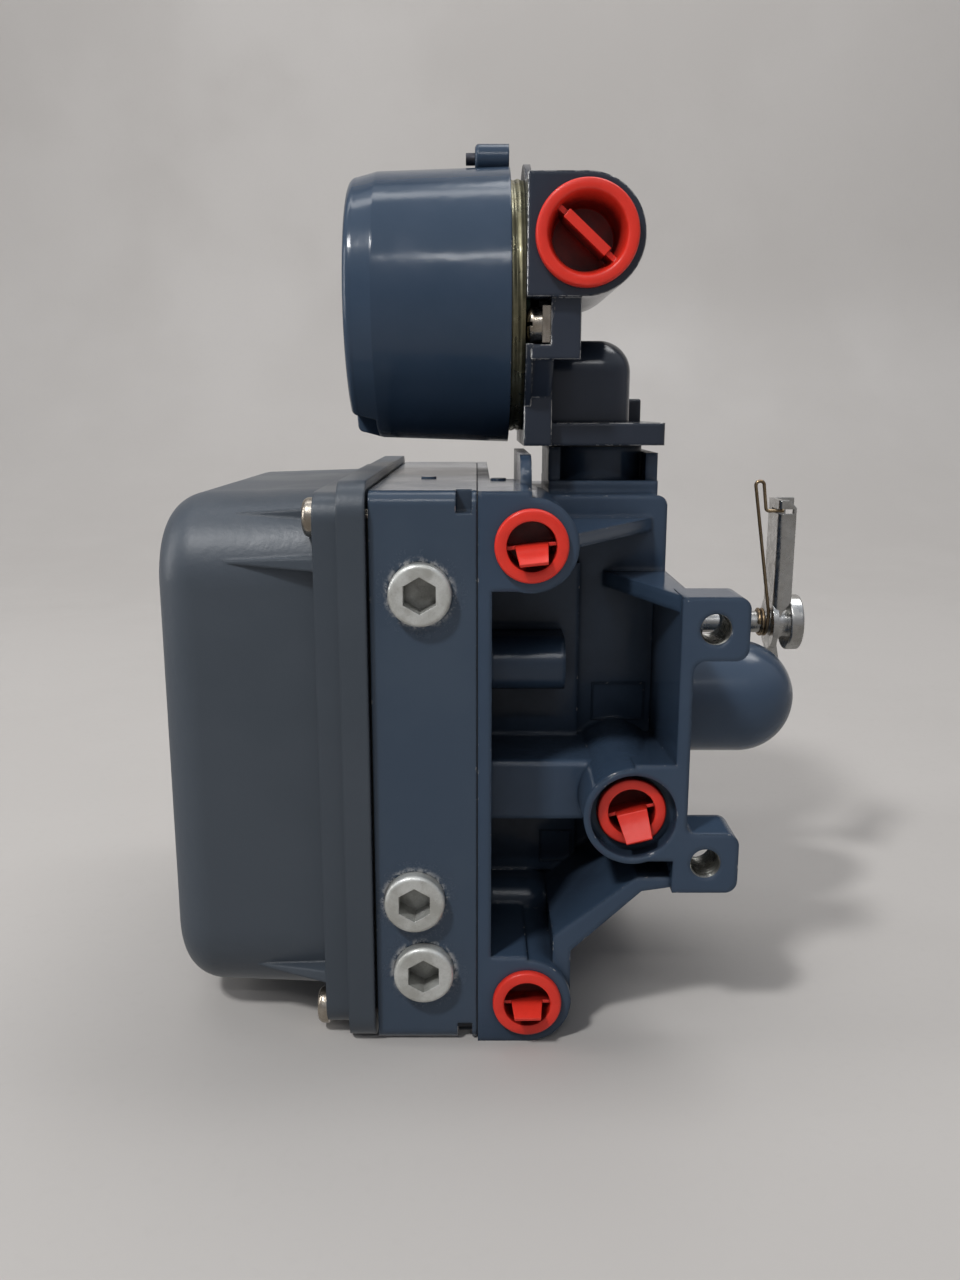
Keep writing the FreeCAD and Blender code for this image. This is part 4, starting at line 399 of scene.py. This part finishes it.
def enamel(name, colour, second, roughness, wear, edge_radius, shade_amount=0.7, peel=0.05 * MM,
           dust_amount=0.0, ports=()):
    """Painted casting. wear is the paint gone from edges; the amount after edge_radius is the
    painted shade in recesses.
    """
    material, tree, shader, place = start_material(name, roughness)
    paint = place(drift, Colour=rgb(*colour), Second_Colour=rgb(*second), Scale=45.0,
                  Speck_Scale=900.0, Speck=0.04)
    worn = place(rubbed, Radius=0.5 * MM, Patch_Scale=260.0, Amount=wear)["Mask"]
    height = place(grain, Peel_Scale=260.0, Grain_Scale=2200.0, Grain_Share=0.10)["Height"]
    tint = paint["Colour"]
    gloss = spread(tree, paint["Tone"], 0.0, 1.0, roughness * 0.85, roughness * 1.2)
    for x, z in ports:
        centre = (x * MM, 0, z * MM)
        chips = place(bruise, Centre=centre, **CHIPPED)["Mask"]
        smear = place(bruise, Centre=centre, **SMEARED)["Mask"]
        chips = math_node(tree, "MULTIPLY", chips, CHIP_SHARE)
        dulled = math_node(tree, "MULTIPLY", smear, SMEAR_DULLS)
        raised = math_node(tree, "MULTIPLY", smear, SMEAR_RISES)
        worn = math_node(tree, "MAXIMUM", worn, chips)
        gloss = math_node(tree, "ADD", gloss, dulled, True)
        height = math_node(tree, "ADD", height, raised)
    if dust_amount > 0:
        dust_and_shade_film = place(dust, Scale=260.0, Amount=dust_amount)["Mask"]
        tint = blend_colours(tree, dust_and_shade_film, tint, DUST)
        gloss = math_node(tree, "ADD", gloss, math_node(tree, "MULTIPLY", dust_and_shade_film, DUST_DULLS), True)
    join(tree, blend_colours(tree, worn, tint, BARE_EDGE), shader.inputs["Base Color"])
    join(tree, math_node(tree, "MULTIPLY", worn, BARE_METALLIC), shader.inputs["Metallic"])
    join(tree, gloss, shader.inputs["Roughness"])
    add_bump(tree, shader, height, peel, place(rounded, Radius=edge_radius)["Normal"])
    # Painted shade: a matt dark layer mixed over the gloss where the recesses see little sky.
    matt = tree.nodes.new("ShaderNodeBsdfDiffuse")
    join(tree, SHADE_COLOUR, matt.inputs["Color"])
    mix = tree.nodes.new("ShaderNodeMixShader")
    join(tree, place(recess_shade, Reach=SHADE_REACH, Amount=shade_amount)["Mask"], mix.inputs[0])
    join(tree, shader.outputs[0], mix.inputs[1])
    join(tree, matt.outputs[0], mix.inputs[2])
    join(tree, mix.outputs[0], tree.nodes["Material Output"].inputs["Surface"])
    return material


# Casting recesses get painted shade: 0.7 by default, less on the case and the cap.
case_enamel = enamel("case_enamel", (0.048, 0.074, 0.114), (0.055, 0.082, 0.122), 0.15, 0.45,
                     0.8 * MM, shade_amount=0.15, peel=0.01 * MM, dust_amount=0.02, ports=GAUGE_PORTS)
manifold_enamel = enamel("manifold_enamel", (0.042, 0.071, 0.118), (0.048, 0.078, 0.127), 0.14,
                         0.45, 1.8 * MM)
housing_enamel = enamel("housing_enamel", (0.026, 0.035, 0.054), (0.031, 0.040, 0.060), 0.18,
                        0.80, 1.2 * MM)
cap_enamel = enamel("cap_enamel", (0.034, 0.062, 0.106), (0.040, 0.068, 0.114), 0.17, 0.45,
                    0.7 * MM, shade_amount=0.5)
finish_node(case_enamel, "case_block")
finish_node(manifold_enamel, "manifold_casting")
# The hood shares the terminal box's darker enamel: painted shade from the box above it.
finish_node(housing_enamel, "terminal_housing", "converter_bonnet")
finish_node(cap_enamel, "terminal_cap")
print("enamels made", case_enamel.name, manifold_enamel.name, housing_enamel.name, cap_enamel.name)

# %% [markdown]
# The cover is painted in the same slate but satin, so it shows soft broad light and a dry,
# speckled grain. Its rim and ribs are rubbed a little where hands and screws have touched it.

# %% Satin cover
def satin_paint():
    material, tree, shader, place = start_material("cover_satin", 0.42)
    paint = place(drift, Colour=rgb(0.058, 0.073, 0.092), Second_Colour=rgb(0.064, 0.079, 0.099),
                  Scale=24.0, Speck_Scale=1500.0, Speck=0.10)
    worn = place(rubbed, Radius=0.35 * MM, Patch_Scale=240.0, Amount=0.25)["Mask"]
    dust_and_shade_film = place(dust, Scale=180.0, Amount=0.08)["Mask"]
    dusty = blend_colours(tree, dust_and_shade_film, paint["Colour"], DUST)
    join(tree, blend_colours(tree, worn, dusty, BARE_EDGE), shader.inputs["Base Color"])
    join(tree, spread(tree, paint["Tone"], 0.0, 1.0, 0.34, 0.44), shader.inputs["Roughness"])
    height = place(grain, Peel_Scale=600.0, Grain_Scale=3500.0, Grain_Share=0.5)["Height"]
    add_bump(tree, shader, height, 0.05 * MM, place(rounded, Radius=0.9 * MM)["Normal"])
    return material


cover_satin = satin_paint()
finish_node(cover_satin, "front_cover")
print("cover", cover_satin.name)

# %% [markdown]
# Bright fasteners differ by their plating: nickel is warm and mirror-like, zinc is pale and
# grainy, stainless is cool and brushed, blackened steel is nearly paint. One maker with a few
# numbers covers them all, and each gets dirt in its smudges rather than a clean shine.

# %% Plated and bare metals
METAL_SHADE = rgb(0.06, 0.055, 0.05)


def metal(name, colour, dull, roughness, stretch, mark_depth, smudge=0.6, metallic=1.0, shade_amount=0.0):
    """Metal with tool marks. mark_depth is in mm; the last amount is the painted shade in its
    hollows.
    """
    material, tree, shader, place = start_material(name, roughness, metallic)
    marks = place(tool_marks, Stretch=stretch, Smudge_Scale=320.0)
    tint = place(drift, Colour=rgb(*colour), Second_Colour=rgb(*dull), Scale=180.0,
                 Speck_Scale=2500.0, Speck=0.3)
    share = math_node(tree, "MULTIPLY", marks["Smudge"], smudge)
    shown = blend_colours(tree, share, tint["Colour"], rgb(*dull))
    # Painted shade: the hollows that see little sky are darkened.
    if shade_amount > 0:
        dust_and_shade_film = place(recess_shade, Reach=6 * MM, Amount=shade_amount)["Mask"]
        shown = blend_colours(tree, dust_and_shade_film, shown, METAL_SHADE)
    join(tree, shown, shader.inputs["Base Color"])
    join(tree, spread(tree, marks["Smudge"], 0.0, 1.0, roughness * 0.7, min(1.0, roughness * 1.5)),
         shader.inputs["Roughness"])
    soft = place(rounded, Radius=0.25 * MM)["Normal"]
    add_bump(tree, shader, marks["Height"], mark_depth * MM, soft)
    return material


ALL_WAYS = (900.0, 900.0, 900.0)
ROUND_X = (3500.0, 250.0, 250.0)
ALONG_Z = (2600.0, 2600.0, 70.0)

finish_node(metal("nickel_plate", (0.66, 0.60, 0.52), (0.36, 0.31, 0.25), 0.22, ALL_WAYS, 0.02),
            "cover_screws", "ground_screw", "ground_washers", "terminal_screws")
# The gauge plugs' sockets are darkened with painted shade.
finish_node(metal("zinc_plate", (0.84, 0.85, 0.82), (0.54, 0.54, 0.50), 0.42, ALL_WAYS, 0.06,
                  smudge=0.5, metallic=0.55, shade_amount=0.9),
            "gauge_plug_1", "gauge_plug_2", "gauge_plug_3")
finish_node(metal("dark_screw", (0.10, 0.10, 0.11), (0.04, 0.04, 0.05), 0.4, ALL_WAYS, 0.04),
            "lock_screw", "case_screws", "base_screws")
finish_node(metal("brushed_stainless", (0.66, 0.66, 0.65), (0.42, 0.41, 0.39), 0.24, ALONG_Z, 0.03),
            "feedback_lever")
finish_node(metal("turned_stainless", (0.64, 0.64, 0.63), (0.42, 0.41, 0.39), 0.25, ROUND_X, 0.03),
            "feedback_shaft", "lever_hub", "lever_nut", "feedback_cam", "cam_nut", "follower_arm",
            "follower_roller", "follower_pivot_pin", "beam_pivot_pin", "capsule_rod",
            "relay_spool", "pivot_posts", "armature")
finish_node(metal("straw_wire", (0.46, 0.35, 0.22), (0.24, 0.17, 0.10), 0.3, ALL_WAYS, 0.02),
            "bias_wire", "range_spring", "zero_spring")
finish_node(metal("oiled_bronze", (0.48, 0.29, 0.13), (0.25, 0.15, 0.08), 0.32, ROUND_X, 0.03),
            "shaft_bushings", "nozzle")
finish_node(metal("machined_aluminium", (0.62, 0.63, 0.64), (0.45, 0.46, 0.47), 0.35, ALL_WAYS,
                  0.03),
            "balance_beam", "zero_bracket", "input_capsule", "relay_body")
finish_node(metal("brass", (0.66, 0.48, 0.20), (0.38, 0.26, 0.10), 0.28, ALONG_Z, 0.03),
            "span_adjuster", "zero_adjuster")
finish_node(metal("relay_socket_steel", (0.5, 0.5, 0.5), (0.25, 0.25, 0.25), 0.35, ALL_WAYS, 0.03),
            "relay_screws")
finish_node(metal("yoke_iron_oiled", (0.2, 0.2, 0.2), (0.1, 0.09, 0.08), 0.45, ALL_WAYS, 0.06),
            "converter_yoke")
chromate = metal("chromate_collar", (0.34, 0.32, 0.21), (0.22, 0.20, 0.12), 0.36, ROUND_X, 0.03,
                 smudge=0.5, metallic=0.75)
finish_node(chromate, "threaded_collar")
# Cut aluminium of the lug threads, set darker than bare aluminium as painted shade inside the
# holes.
shaded_cut_metal = metal("cut_aluminium", (0.50, 0.49, 0.46), (0.22, 0.22, 0.20), 0.25, ALL_WAYS, 0.02)
print("metals made", len(bpy.data.materials))

# %% [markdown]
# The red plugs are soft moulded polyethylene: a bright colour with a waxy shine, into which
# light goes a little way, and a painted shade of far deeper red inside the mouths. They are only
# there for shipping. Seals, the terminal block, the board and the coil are made by the same
# function.

# %% Plastics and rubber
def moulded(name, colour, second, roughness, depth, glow=0.0, hollow_shade=None):
    """Plastic or rubber. depth of the grain is in mm, glow is the light that goes in, and the
    last colour, if given, is painted shade inside hollows."""
    material, tree, shader, place = start_material(name, roughness)
    tint = place(drift, Colour=rgb(*colour), Second_Colour=rgb(*second), Scale=140.0,
                 Speck_Scale=1800.0, Speck=0.15)
    shown = tint["Colour"]
    if hollow_shade is not None:
        # Painted shade: the inside of hollows is darkened towards the given shade colour.
        inner_shade = place(recess_shade, Reach=10 * MM, Amount=1.0)["Mask"]
        shown = blend_colours(tree, inner_shade, shown, rgb(*hollow_shade))
    join(tree, shown, shader.inputs["Base Color"])
    join(tree, spread(tree, tint["Tone"], 0.0, 1.0, roughness * 0.85, roughness * 1.25),
         shader.inputs["Roughness"])
    shader.inputs["Subsurface Weight"].default_value = glow
    shader.inputs["Subsurface Scale"].default_value = 0.5 * MM
    height = place(grain, Peel_Scale=500.0, Grain_Scale=2600.0, Grain_Share=0.4)["Height"]
    add_bump(tree, shader, height, depth * MM, place(rounded, Radius=0.3 * MM)["Normal"])
    return material


# The plugs' mouths get a near-black red as painted shade.
red_plug = moulded("red_plug", (0.95, 0.045, 0.025), (0.86, 0.035, 0.018), 0.36, 0.05, glow=0.04,
                   hollow_shade=(0.06, 0.001, 0.001))
finish_node(red_plug, "supply_plug", "upper_output_plug", "lower_output_plug", "conduit_plug")
finish_node(moulded("seal_black", (0.014, 0.014, 0.015), (0.022, 0.022, 0.023), 0.6, 0.1),
            "cover_seal", "joint_gasket", "base_seal", "cap_ring")
finish_node(moulded("black_moulding", (0.020, 0.020, 0.022), (0.030, 0.030, 0.032), 0.45, 0.08),
            "terminal_block", "board_spacers")
finish_node(moulded("board_resist", (0.02, 0.13, 0.06), (0.03, 0.17, 0.08), 0.35, 0.04),
            "circuit_board")
finish_node(moulded("taped_coil", (0.45, 0.22, 0.06), (0.36, 0.16, 0.04), 0.5, 0.15),
            "converter_coil")

cad_slots = {item["slot"] for item in frame["record"]["materials"]}
unfinished = [name for name, node in nodes.items()
              if any(slot.material.name in cad_slots for slot in node.material_slots)]
print("nodes still in their CAD colour", unfinished)

# %% [markdown]
# Some pieces carry detail that a solid for a workshop leaves out: screw threads, and the soft
# rounded forms of moulded plastic. They are built here as meshes. A turned form is a profile of
# radius and distance along an axis, swept round it. A bent strip is a grid of cells with a
# thickness, laid along a curve.

# %% Helpers for meshes
ROUND_STEPS = 72
SHARP = math.radians(32)            # edges that turn more than this are rounded


def new_piece(name, bm, material, body, replaced=(), rounding=0.0):
    """Makes an object of a bmesh, with smooth faces, rounded corners and its place in the frame."""
    bmesh.ops.recalc_face_normals(bm, faces=bm.faces)
    mesh = bpy.data.meshes.new(name)
    bm.to_mesh(mesh)
    bm.free()
    mesh.polygons.foreach_set("use_smooth", [True] * len(mesh.polygons))
    mesh.materials.append(material)
    piece = bpy.data.objects.new(name, mesh)
    bpy.context.scene.collection.objects.link(piece)
    if rounding > 0:
        bevel = piece.modifiers.new("round", "BEVEL")
        bevel.width, bevel.segments = rounding, 2
        bevel.limit_method, bevel.angle_limit = "ANGLE", SHARP
        bevel.harden_normals = True
    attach(piece, body)
    if replaced:
        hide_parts(*replaced)


def spokes_round(along, side):
    """Unit directions round an axis, one for each step; the first of them is side."""
    across = along.cross(side)
    angles = [2 * math.pi * i / ROUND_STEPS for i in range(ROUND_STEPS)]
    return [side * math.cos(a) + across * math.sin(a) for a in angles]


def turned(bm, profile, origin, along, side):
    """Sweeps (radius, distance) points round an axis. A radius of 0 closes the form on the axis."""
    spokes = spokes_round(along, side)
    rings = []
    for radius, distance in profile:
        middle = origin + along * distance
        if radius == 0:
            rings.append([bm.verts.new(middle)])
        else:
            rings.append([bm.verts.new(middle + spoke * radius) for spoke in spokes])
    for first, second in zip(rings, rings[1:]):
        for i in range(ROUND_STEPS):
            k = (i + 1) % ROUND_STEPS
            corners = [first[i % len(first)], first[k % len(first)],
                       second[k % len(second)], second[i % len(second)]]
            unique = list(dict.fromkeys(corners))
            if len(unique) > 2:
                bm.faces.new(unique)


def strip(bm, stations, offsets, kept, place, thickness):
    """A strip with a thickness: cells between stations (along) and offsets (across) that kept()
    lets through; place(station, offset) gives a point and the direction of the thickness."""
    cells = [(i, j) for i in range(len(stations) - 1) for j in range(len(offsets) - 1)
             if kept(i, j)]
    corners = sorted({(i + a, j + b) for i, j in cells for a in (0, 1) for b in (0, 1)})
    sides = []
    for sign in (-0.5, 0.5):
        layer = {}
        for i, j in corners:
            point, normal = place(stations[i], offsets[j])
            layer[i, j] = bm.verts.new(point + normal * thickness * sign)
        sides.append(layer)
    for i, j in cells:
        loop = [(i, j), (i + 1, j), (i + 1, j + 1), (i, j + 1)]
        for layer in sides:
            bm.faces.new([layer[c] for c in loop])
        for c, d, beyond in ((loop[0], loop[1], (i, j - 1)), (loop[1], loop[2], (i + 1, j)),
                             (loop[2], loop[3], (i, j + 1)), (loop[3], loop[0], (i - 1, j))):
            if beyond not in cells:
                bm.faces.new([sides[0][c], sides[0][d], sides[1][d], sides[1][c]])


X_AXIS, Z_AXIS, OUTWARD = Vector((1, 0, 0)), Vector((0, 0, 1)), Vector((0, -1, 0))
print("mesh helpers ready, round steps", ROUND_STEPS)

# %% [markdown]
# A shipping plug is a soft hollow stopper. Its rim is rolled over the port, and a strip across
# the mouth ends in a tongue that a finger pulls. Being soft, each tongue has bent its own way.

# %% Air plugs
# Lengths in mm; heights and depths are counted from the port's face.
AIR_RIM_R, AIR_MOUTH_R, AIR_STEM_R = 7.95, 5.3, 6.5
AIR_RIM, AIR_DEPTH, STEM_END = 1.7, 8.4, 9.0
BAR_HALF, TONGUE_HALF, TONGUE_TIP, STRIP = 5.6, 3.6, 3.0, 0.85
BAR_BACK, BAR_MIDDLE, BAR_FRONT = -4.0, -1.5, 0.2
BENDING = 0.35                      # share of the tongue's length in which it bends
OVERBEND = 1.25                     # how much the strip's thickness leans ahead of the bend
SOFT_EDGE = 0.16


def air_rim_profile():
    """From the floor of the hollow, out over the rolled rim and back to the stem's end."""
    inner = [(0, -AIR_DEPTH), (AIR_MOUTH_R - 0.5, -AIR_DEPTH),
             (AIR_MOUTH_R - 0.1, -AIR_DEPTH + 0.6)]
    rolled = [(AIR_MOUTH_R, 1.0), (AIR_MOUTH_R + 0.08, 1.42), (AIR_MOUTH_R + 0.3, 1.64),
              (AIR_MOUTH_R + 0.6, AIR_RIM), (AIR_RIM_R - 0.7, AIR_RIM), (AIR_RIM_R - 0.3, 1.56),
              (AIR_RIM_R - 0.08, 1.25), (AIR_RIM_R, 0.8), (AIR_RIM_R, 0.0)]
    stem = [(AIR_STEM_R, 0.0), (AIR_STEM_R, 0.5 - STEM_END), (AIR_STEM_R - 0.5, -STEM_END),
            (0, -STEM_END)]
    return [(r * MM, d * MM) for r, d in inner + rolled + stem]


def air_plug(name, node, body, x, y, z, turn, reach, drop):
    """turn is the tongue's angle round the port; reach and drop are how far its tip comes out of
    the mouth and hangs down. Lengths are in mm."""
    centre = Vector((x, y, z)) * MM
    bm = bmesh.new()
    turned(bm, air_rim_profile(), centre, OUTWARD, X_AXIS)
    angle = math.radians(turn)
    right = X_AXIS * math.cos(angle) + Z_AXIS * math.sin(angle)
    up = right.cross(OUTWARD) * -1
    bend = math.atan2(drop, reach)
    length = math.hypot(reach, drop)
    tongue = [BAR_FRONT + length * k / 6 for k in range(1, 7)]
    stations = [BAR_BACK, BAR_MIDDLE, BAR_FRONT] + tongue
    offsets = [-BAR_HALF, -TONGUE_HALF, -TONGUE_HALF / 2, 0.0,
               TONGUE_HALF / 2, TONGUE_HALF, BAR_HALF]

    def kept(i, j):
        return i < 2 or 0 < j < len(offsets) - 2

    def place(u, v):
        beyond = max(0.0, u - BAR_FRONT)
        share = min(1.0, beyond / (BENDING * length))
        tilt = bend * (OVERBEND * share if share < 1 else 1.0)
        out = min(u, BAR_FRONT) + beyond * math.cos(bend * share)
        down = beyond * math.sin(bend) * share
        width = v * (1 - (1 - TONGUE_TIP / TONGUE_HALF) * beyond / length)
        point = centre + (right * width + OUTWARD * out - up * down) * MM
        return point, (up * math.cos(tilt) + OUTWARD * math.sin(tilt)).normalized()

    strip(bm, stations, offsets, kept, place, STRIP * MM)
    new_piece(name, bm, red_plug, body, (node,), SOFT_EDGE * MM)


air_plug("supply_stopper_rolled", "supply_plug", "supply_stopper", 35.2, -61.0, 55.6,
         turn=14, reach=4.6, drop=6.0)
air_plug("upper_stopper_rolled", "upper_output_plug", "upper_stopper", 11.7, -65.5, 116.5,
         turn=6, reach=4.8, drop=3.4)
air_plug("lower_stopper_rolled", "lower_output_plug", "lower_stopper", 11.7, -65.5, 10.2,
         turn=1, reach=5.0, drop=1.6)
print("air plugs made")

# %% [markdown]
# The conduit's plug is bigger and has no tongue: a stepped bar across a funnel-shaped mouth is
# turned with two fingers.

# %% Conduit plug
CONDUIT_MOUTH = Vector((25.1, -34.8, 183.7)) * MM
FUNNEL = [(0, -11), (7.3, -11), (7.6, -10.4), (7.8, -3.2), (8.1, -1.4), (8.75, 1.6), (8.95, 2.4)]
CONDUIT_RIM = [(9.25, 2.85), (9.6, 3.0), (11.1, 3.0), (11.45, 2.85), (11.68, 2.5), (11.75, 2.0),
               (11.75, 0.0)]
CONDUIT_STEM = [(10.2, 0.0), (10.2, -11.4), (9.7, -12.0), (0, -12.0)]
BAR_TURN = -42
BARS = (((-8.0, 0.9), (-8.9, 0.0, 8.9), 1.3),       # depths, ends, thickness: the low thin bar
        ((-8.0, 1.9), (-6.5, 0.0, 6.2), 2.3))       # and the high thick one over its middle


def conduit_plug():
    bm = bmesh.new()
    profile = [(r * MM, d * MM) for r, d in FUNNEL + CONDUIT_RIM + CONDUIT_STEM]
    turned(bm, profile, CONDUIT_MOUTH, OUTWARD, X_AXIS)
    angle = math.radians(BAR_TURN)
    along = X_AXIS * math.cos(angle) + Z_AXIS * math.sin(angle)
    thick = along.cross(OUTWARD)
    for depths, ends, width in BARS:
        strip(bm, depths, ends, lambda i, j: True,
              lambda u, v: (CONDUIT_MOUTH + (OUTWARD * u + along * v) * MM, thick), width * MM)
    new_piece("conduit_stopper_barred", bm, red_plug, "conduit_stopper",
              ("conduit_plug",), 0.18 * MM)


conduit_plug()
print("conduit plug made")

# %% [markdown]
# Screw threads are helices. A grid runs round the axis and along it, and the radius of each
# point follows a triangle wave of (distance along - pitch x turns), which winds the crest round.

# %% Threads
ROWS_PER_PITCH = 10
RUN_OUT = 0.4                       # share of a pitch in which the thread fades at each end


def threaded_sleeve(name, origin, along, side, length, crest_r, depth, pitch, other_r, material,
                    replaced=()):
    """A sleeve with a thread on one side, of crest radius crest_r; other_r is the plain side's."""
    outward = 1 if other_r < crest_r else -1
    spokes = spokes_round(along, side)
    rows = int(length / pitch * ROWS_PER_PITCH)
    bm = bmesh.new()

    def ring(u, radii):
        return [bm.verts.new(origin + (along * u + spoke * radius) * MM)
                for spoke, radius in zip(spokes, radii)]

    grid = []
    for j in range(rows + 1):
        u = length * j / rows
        edge = min(1.0, u / (RUN_OUT * pitch), (length - u) / (RUN_OUT * pitch))
        radii = []
        for i in range(ROUND_STEPS):
            phase = (u / pitch - i / ROUND_STEPS) % 1.0
            groove = depth * (1 - abs(2 * phase - 1)) ** 1.3
            radii.append(crest_r - outward * (groove * edge + depth * (1 - edge)))
        grid.append(ring(u, radii))
    for u in (length, 0.0):
        grid.append(ring(u, [other_r] * ROUND_STEPS))
    grid.append(grid[0])
    for first, second in zip(grid, grid[1:]):
        for i in range(ROUND_STEPS):
            k = (i + 1) % ROUND_STEPS
            bm.faces.new([first[i], first[k], second[k], second[i]])
    new_piece(name, bm, material, "positioner", replaced)


CAP_PITCH = 14.1 / 7                # the cap's travel over its turns on the collar
threaded_sleeve("collar_thread", Vector((-6.0, 0, 170.4)) * MM, X_AXIS, Z_AXIS, length=17.6,
                crest_r=31.2, depth=0.40, pitch=CAP_PITCH, other_r=25.5, material=chromate,
                replaced=("threaded_collar",))
for label, z in (("lower", 44.4), ("upper", 98.4)):
    threaded_sleeve(label + "_lug_thread", Vector((51.7, -65.3, z)) * MM, -OUTWARD, X_AXIS,
                    length=11.6, crest_r=3.12, depth=0.3, pitch=1.25, other_r=3.46,
                    material=shaded_cut_metal)
print("threads made")

# %% [markdown]
# Two low frames are cast in the pocket, one above the supply port and one below it; they stay
# bare. A short stop stands on the terminal box's foot, behind the converter's hood.

# %% Cast frames and stop
FRAME_WIDTH, FRAME_RISE, FRAME_ROOT = 0.5, 0.35, 0.1


def rectangle(low, high, inset):
    """Corners in X and Z."""
    (x0, z0), (x1, z1) = low, high
    return [(x0 + inset, z0 + inset), (x1 - inset, z0 + inset),
            (x1 - inset, z1 - inset), (x0 + inset, z1 - inset)]


def cast_frame(name, low, high, y):
    bm = bmesh.new()
    outer, inner = rectangle(low, high, 0.0), rectangle(low, high, FRAME_WIDTH)
    root, face = y + FRAME_ROOT, y - FRAME_RISE
    loops = [[bm.verts.new(Vector((x, depth, z)) * MM) for x, z in points]
             for points, depth in ((outer, root), (outer, face), (inner, face), (inner, root))]
    for first, second in zip(loops, loops[1:] + loops[:1]):
        for i in range(4):
            k = (i + 1) % 4
            bm.faces.new([first[i], first[k], second[k], second[i]])
    new_piece(name, bm, manifold_enamel, "positioner",
              rounding=0.12 * MM)


def foot_stop(low, high):
    bm = bmesh.new()
    bmesh.ops.create_cube(bm, size=1.0)
    for corner in bm.verts:
        middled = [(a + b) / 2 + c * (b - a) for a, b, c in zip(low, high, corner.co)]
        corner.co = Vector(middled) * MM
    new_piece("foot_stop", bm, housing_enamel, "positioner",
              rounding=0.6 * MM)


cast_frame("supply_frame", (29.4, 66.6), (43.0, 76.6), y=-25.5)
cast_frame("output_frame", (16.4, 28.9), (24.8, 37.6), y=-28.5)
foot_stop((39.5, 11.0, 139.5), (45.3, 17.5, 147.6))
print("cast frames and stop made")

# %% [markdown]
# The studio is a pale floor that sweeps up into a wall. The floor isn't mirrored in the gloss,
# because the photographed table ends close by and darker things are mirrored there.

# %% Floor and backdrop
# Each is a profile of Y and Z in metres, drawn out along X.
FLOOR = [(-2.2, 0.0), (0.30, 0.0)]
SWEEP = [(0.30, 0.0), (0.55, 0.0), (0.75, 0.02), (0.92, 0.09), (1.04, 0.22), (1.08, 0.40),
         (1.08, 2.4)]
SWEEP_HALF_WIDTH = 2.6


def floor_finish():
    material, tree, shader, place = start_material("pale_floor", 0.6)
    tint = place(drift, Colour=rgb(0.60, 0.575, 0.55), Second_Colour=rgb(0.57, 0.545, 0.52),
                 Scale=4.0, Speck_Scale=300.0, Speck=0.2)
    join(tree, tint["Colour"], shader.inputs["Base Color"])
    join(tree, spread(tree, tint["Tone"], 0.0, 1.0, 0.5, 0.65), shader.inputs["Roughness"])
    return material


pale_floor = floor_finish()


def make_sheet(name, profile):
    mesh = bpy.data.meshes.new(name)
    points = [(x, y, z) for y, z in profile for x in (-SWEEP_HALF_WIDTH, SWEEP_HALF_WIDTH)]
    faces = [(2 * i, 2 * i + 1, 2 * i + 3, 2 * i + 2) for i in range(len(profile) - 1)]
    mesh.from_pydata(points, [], faces)
    mesh.polygons.foreach_set("use_smooth", [True] * len(faces))
    mesh.materials.append(pale_floor)
    sheet = bpy.data.objects.new(name, mesh)
    bpy.context.scene.collection.objects.link(sheet)
    smooth = sheet.modifiers.new("round", "SUBSURF")
    smooth.levels = smooth.render_levels = 3
    smooth.boundary_smooth = "PRESERVE_CORNERS"
    return sheet


studio_floor = make_sheet("studio_floor", FLOOR)
studio_floor.visible_glossy = False
make_sheet("studio_wall", SWEEP)
print("floor and wall made")

# %% [markdown]
# A small key lamp at the front left, high up, throws the clear shadow to the right. A ceiling
# panel above and behind lights the tops, a lamp over the wall brightens the backdrop, and two
# narrow strips, one in front and one at the left, are there for the gloss to reflect: without a
# bright strip, enamel looks like matt paint. Their sum is set so that a grey card shows about
# its own value. The sky lights the scene evenly, but what the gloss and the camera see of it is
# a room that is dim at the height of the table and brighter above.

# %% Lamps and sky
LAMPS = (                           # place and aim in metres, width and height in metres, watts
    ("key_panel", (-0.60, -0.80, 1.30), (0, 0, 0.1), (0.16, 0.16), 11.0),
    ("ceiling_panel", (0.45, 0.40, 1.45), (0.1, 0, 0.1), (1.0, 0.6), 5.0),
    ("front_glint", (0.05, -1.15, 1.05), (0, 0, 0.16), (0.5, 0.06), 1.5),
    ("left_strip", (-0.95, -0.05, 0.40), (0, 0, 0.12), (0.15, 0.6), 2.2),
    ("wall_wash", (0.0, 0.30, 1.70), (0, 1.08, 0.55), (2.2, 0.3), 6.5),
)
AMBIENT = rgb(0.11, 0.115, 0.13)
ROOM_LOW = rgb(0.28, 0.27, 0.26)
ROOM_LEVEL = rgb(0.28, 0.28, 0.30)
ROOM_HIGH = rgb(0.60, 0.64, 0.70)


def soft_panel(name, place, aim, size, power):
    light = bpy.data.lights.new(name, "AREA")
    light.shape = "RECTANGLE"
    light.size, light.size_y = size
    light.energy = power
    lamp = bpy.data.objects.new(name, light)
    lamp.location = place
    lamp.rotation_euler = (Vector(aim) - Vector(place)).to_track_quat("-Z", "Y").to_euler()
    bpy.context.scene.collection.objects.link(lamp)


def make_sky():
    world = bpy.data.worlds.new("studio")
    bpy.context.scene.world = world
    world.use_nodes = True
    tree = world.node_tree
    path = tree.nodes.new("ShaderNodeLightPath").outputs
    seen = math_node(tree, "MAXIMUM", path["Is Camera Ray"], path["Is Glossy Ray"])
    seen = math_node(tree, "MAXIMUM", seen, path["Is Transmission Ray"])
    parts = tree.nodes.new("ShaderNodeSeparateXYZ")
    join(tree, tree.nodes.new("ShaderNodeTexCoord").outputs["Generated"], parts.inputs[0])
    above = spread(tree, parts.outputs["Z"], -0.15, 0.20)
    high = spread(tree, parts.outputs["Z"], 0.15, 0.75)
    room = blend_colours(tree, above, ROOM_LOW, ROOM_LEVEL)
    room = blend_colours(tree, high, room, ROOM_HIGH)
    join(tree, blend_colours(tree, seen, AMBIENT, room), tree.nodes["Background"].inputs["Color"])


for lamp_data in LAMPS:
    soft_panel(*lamp_data)
make_sky()
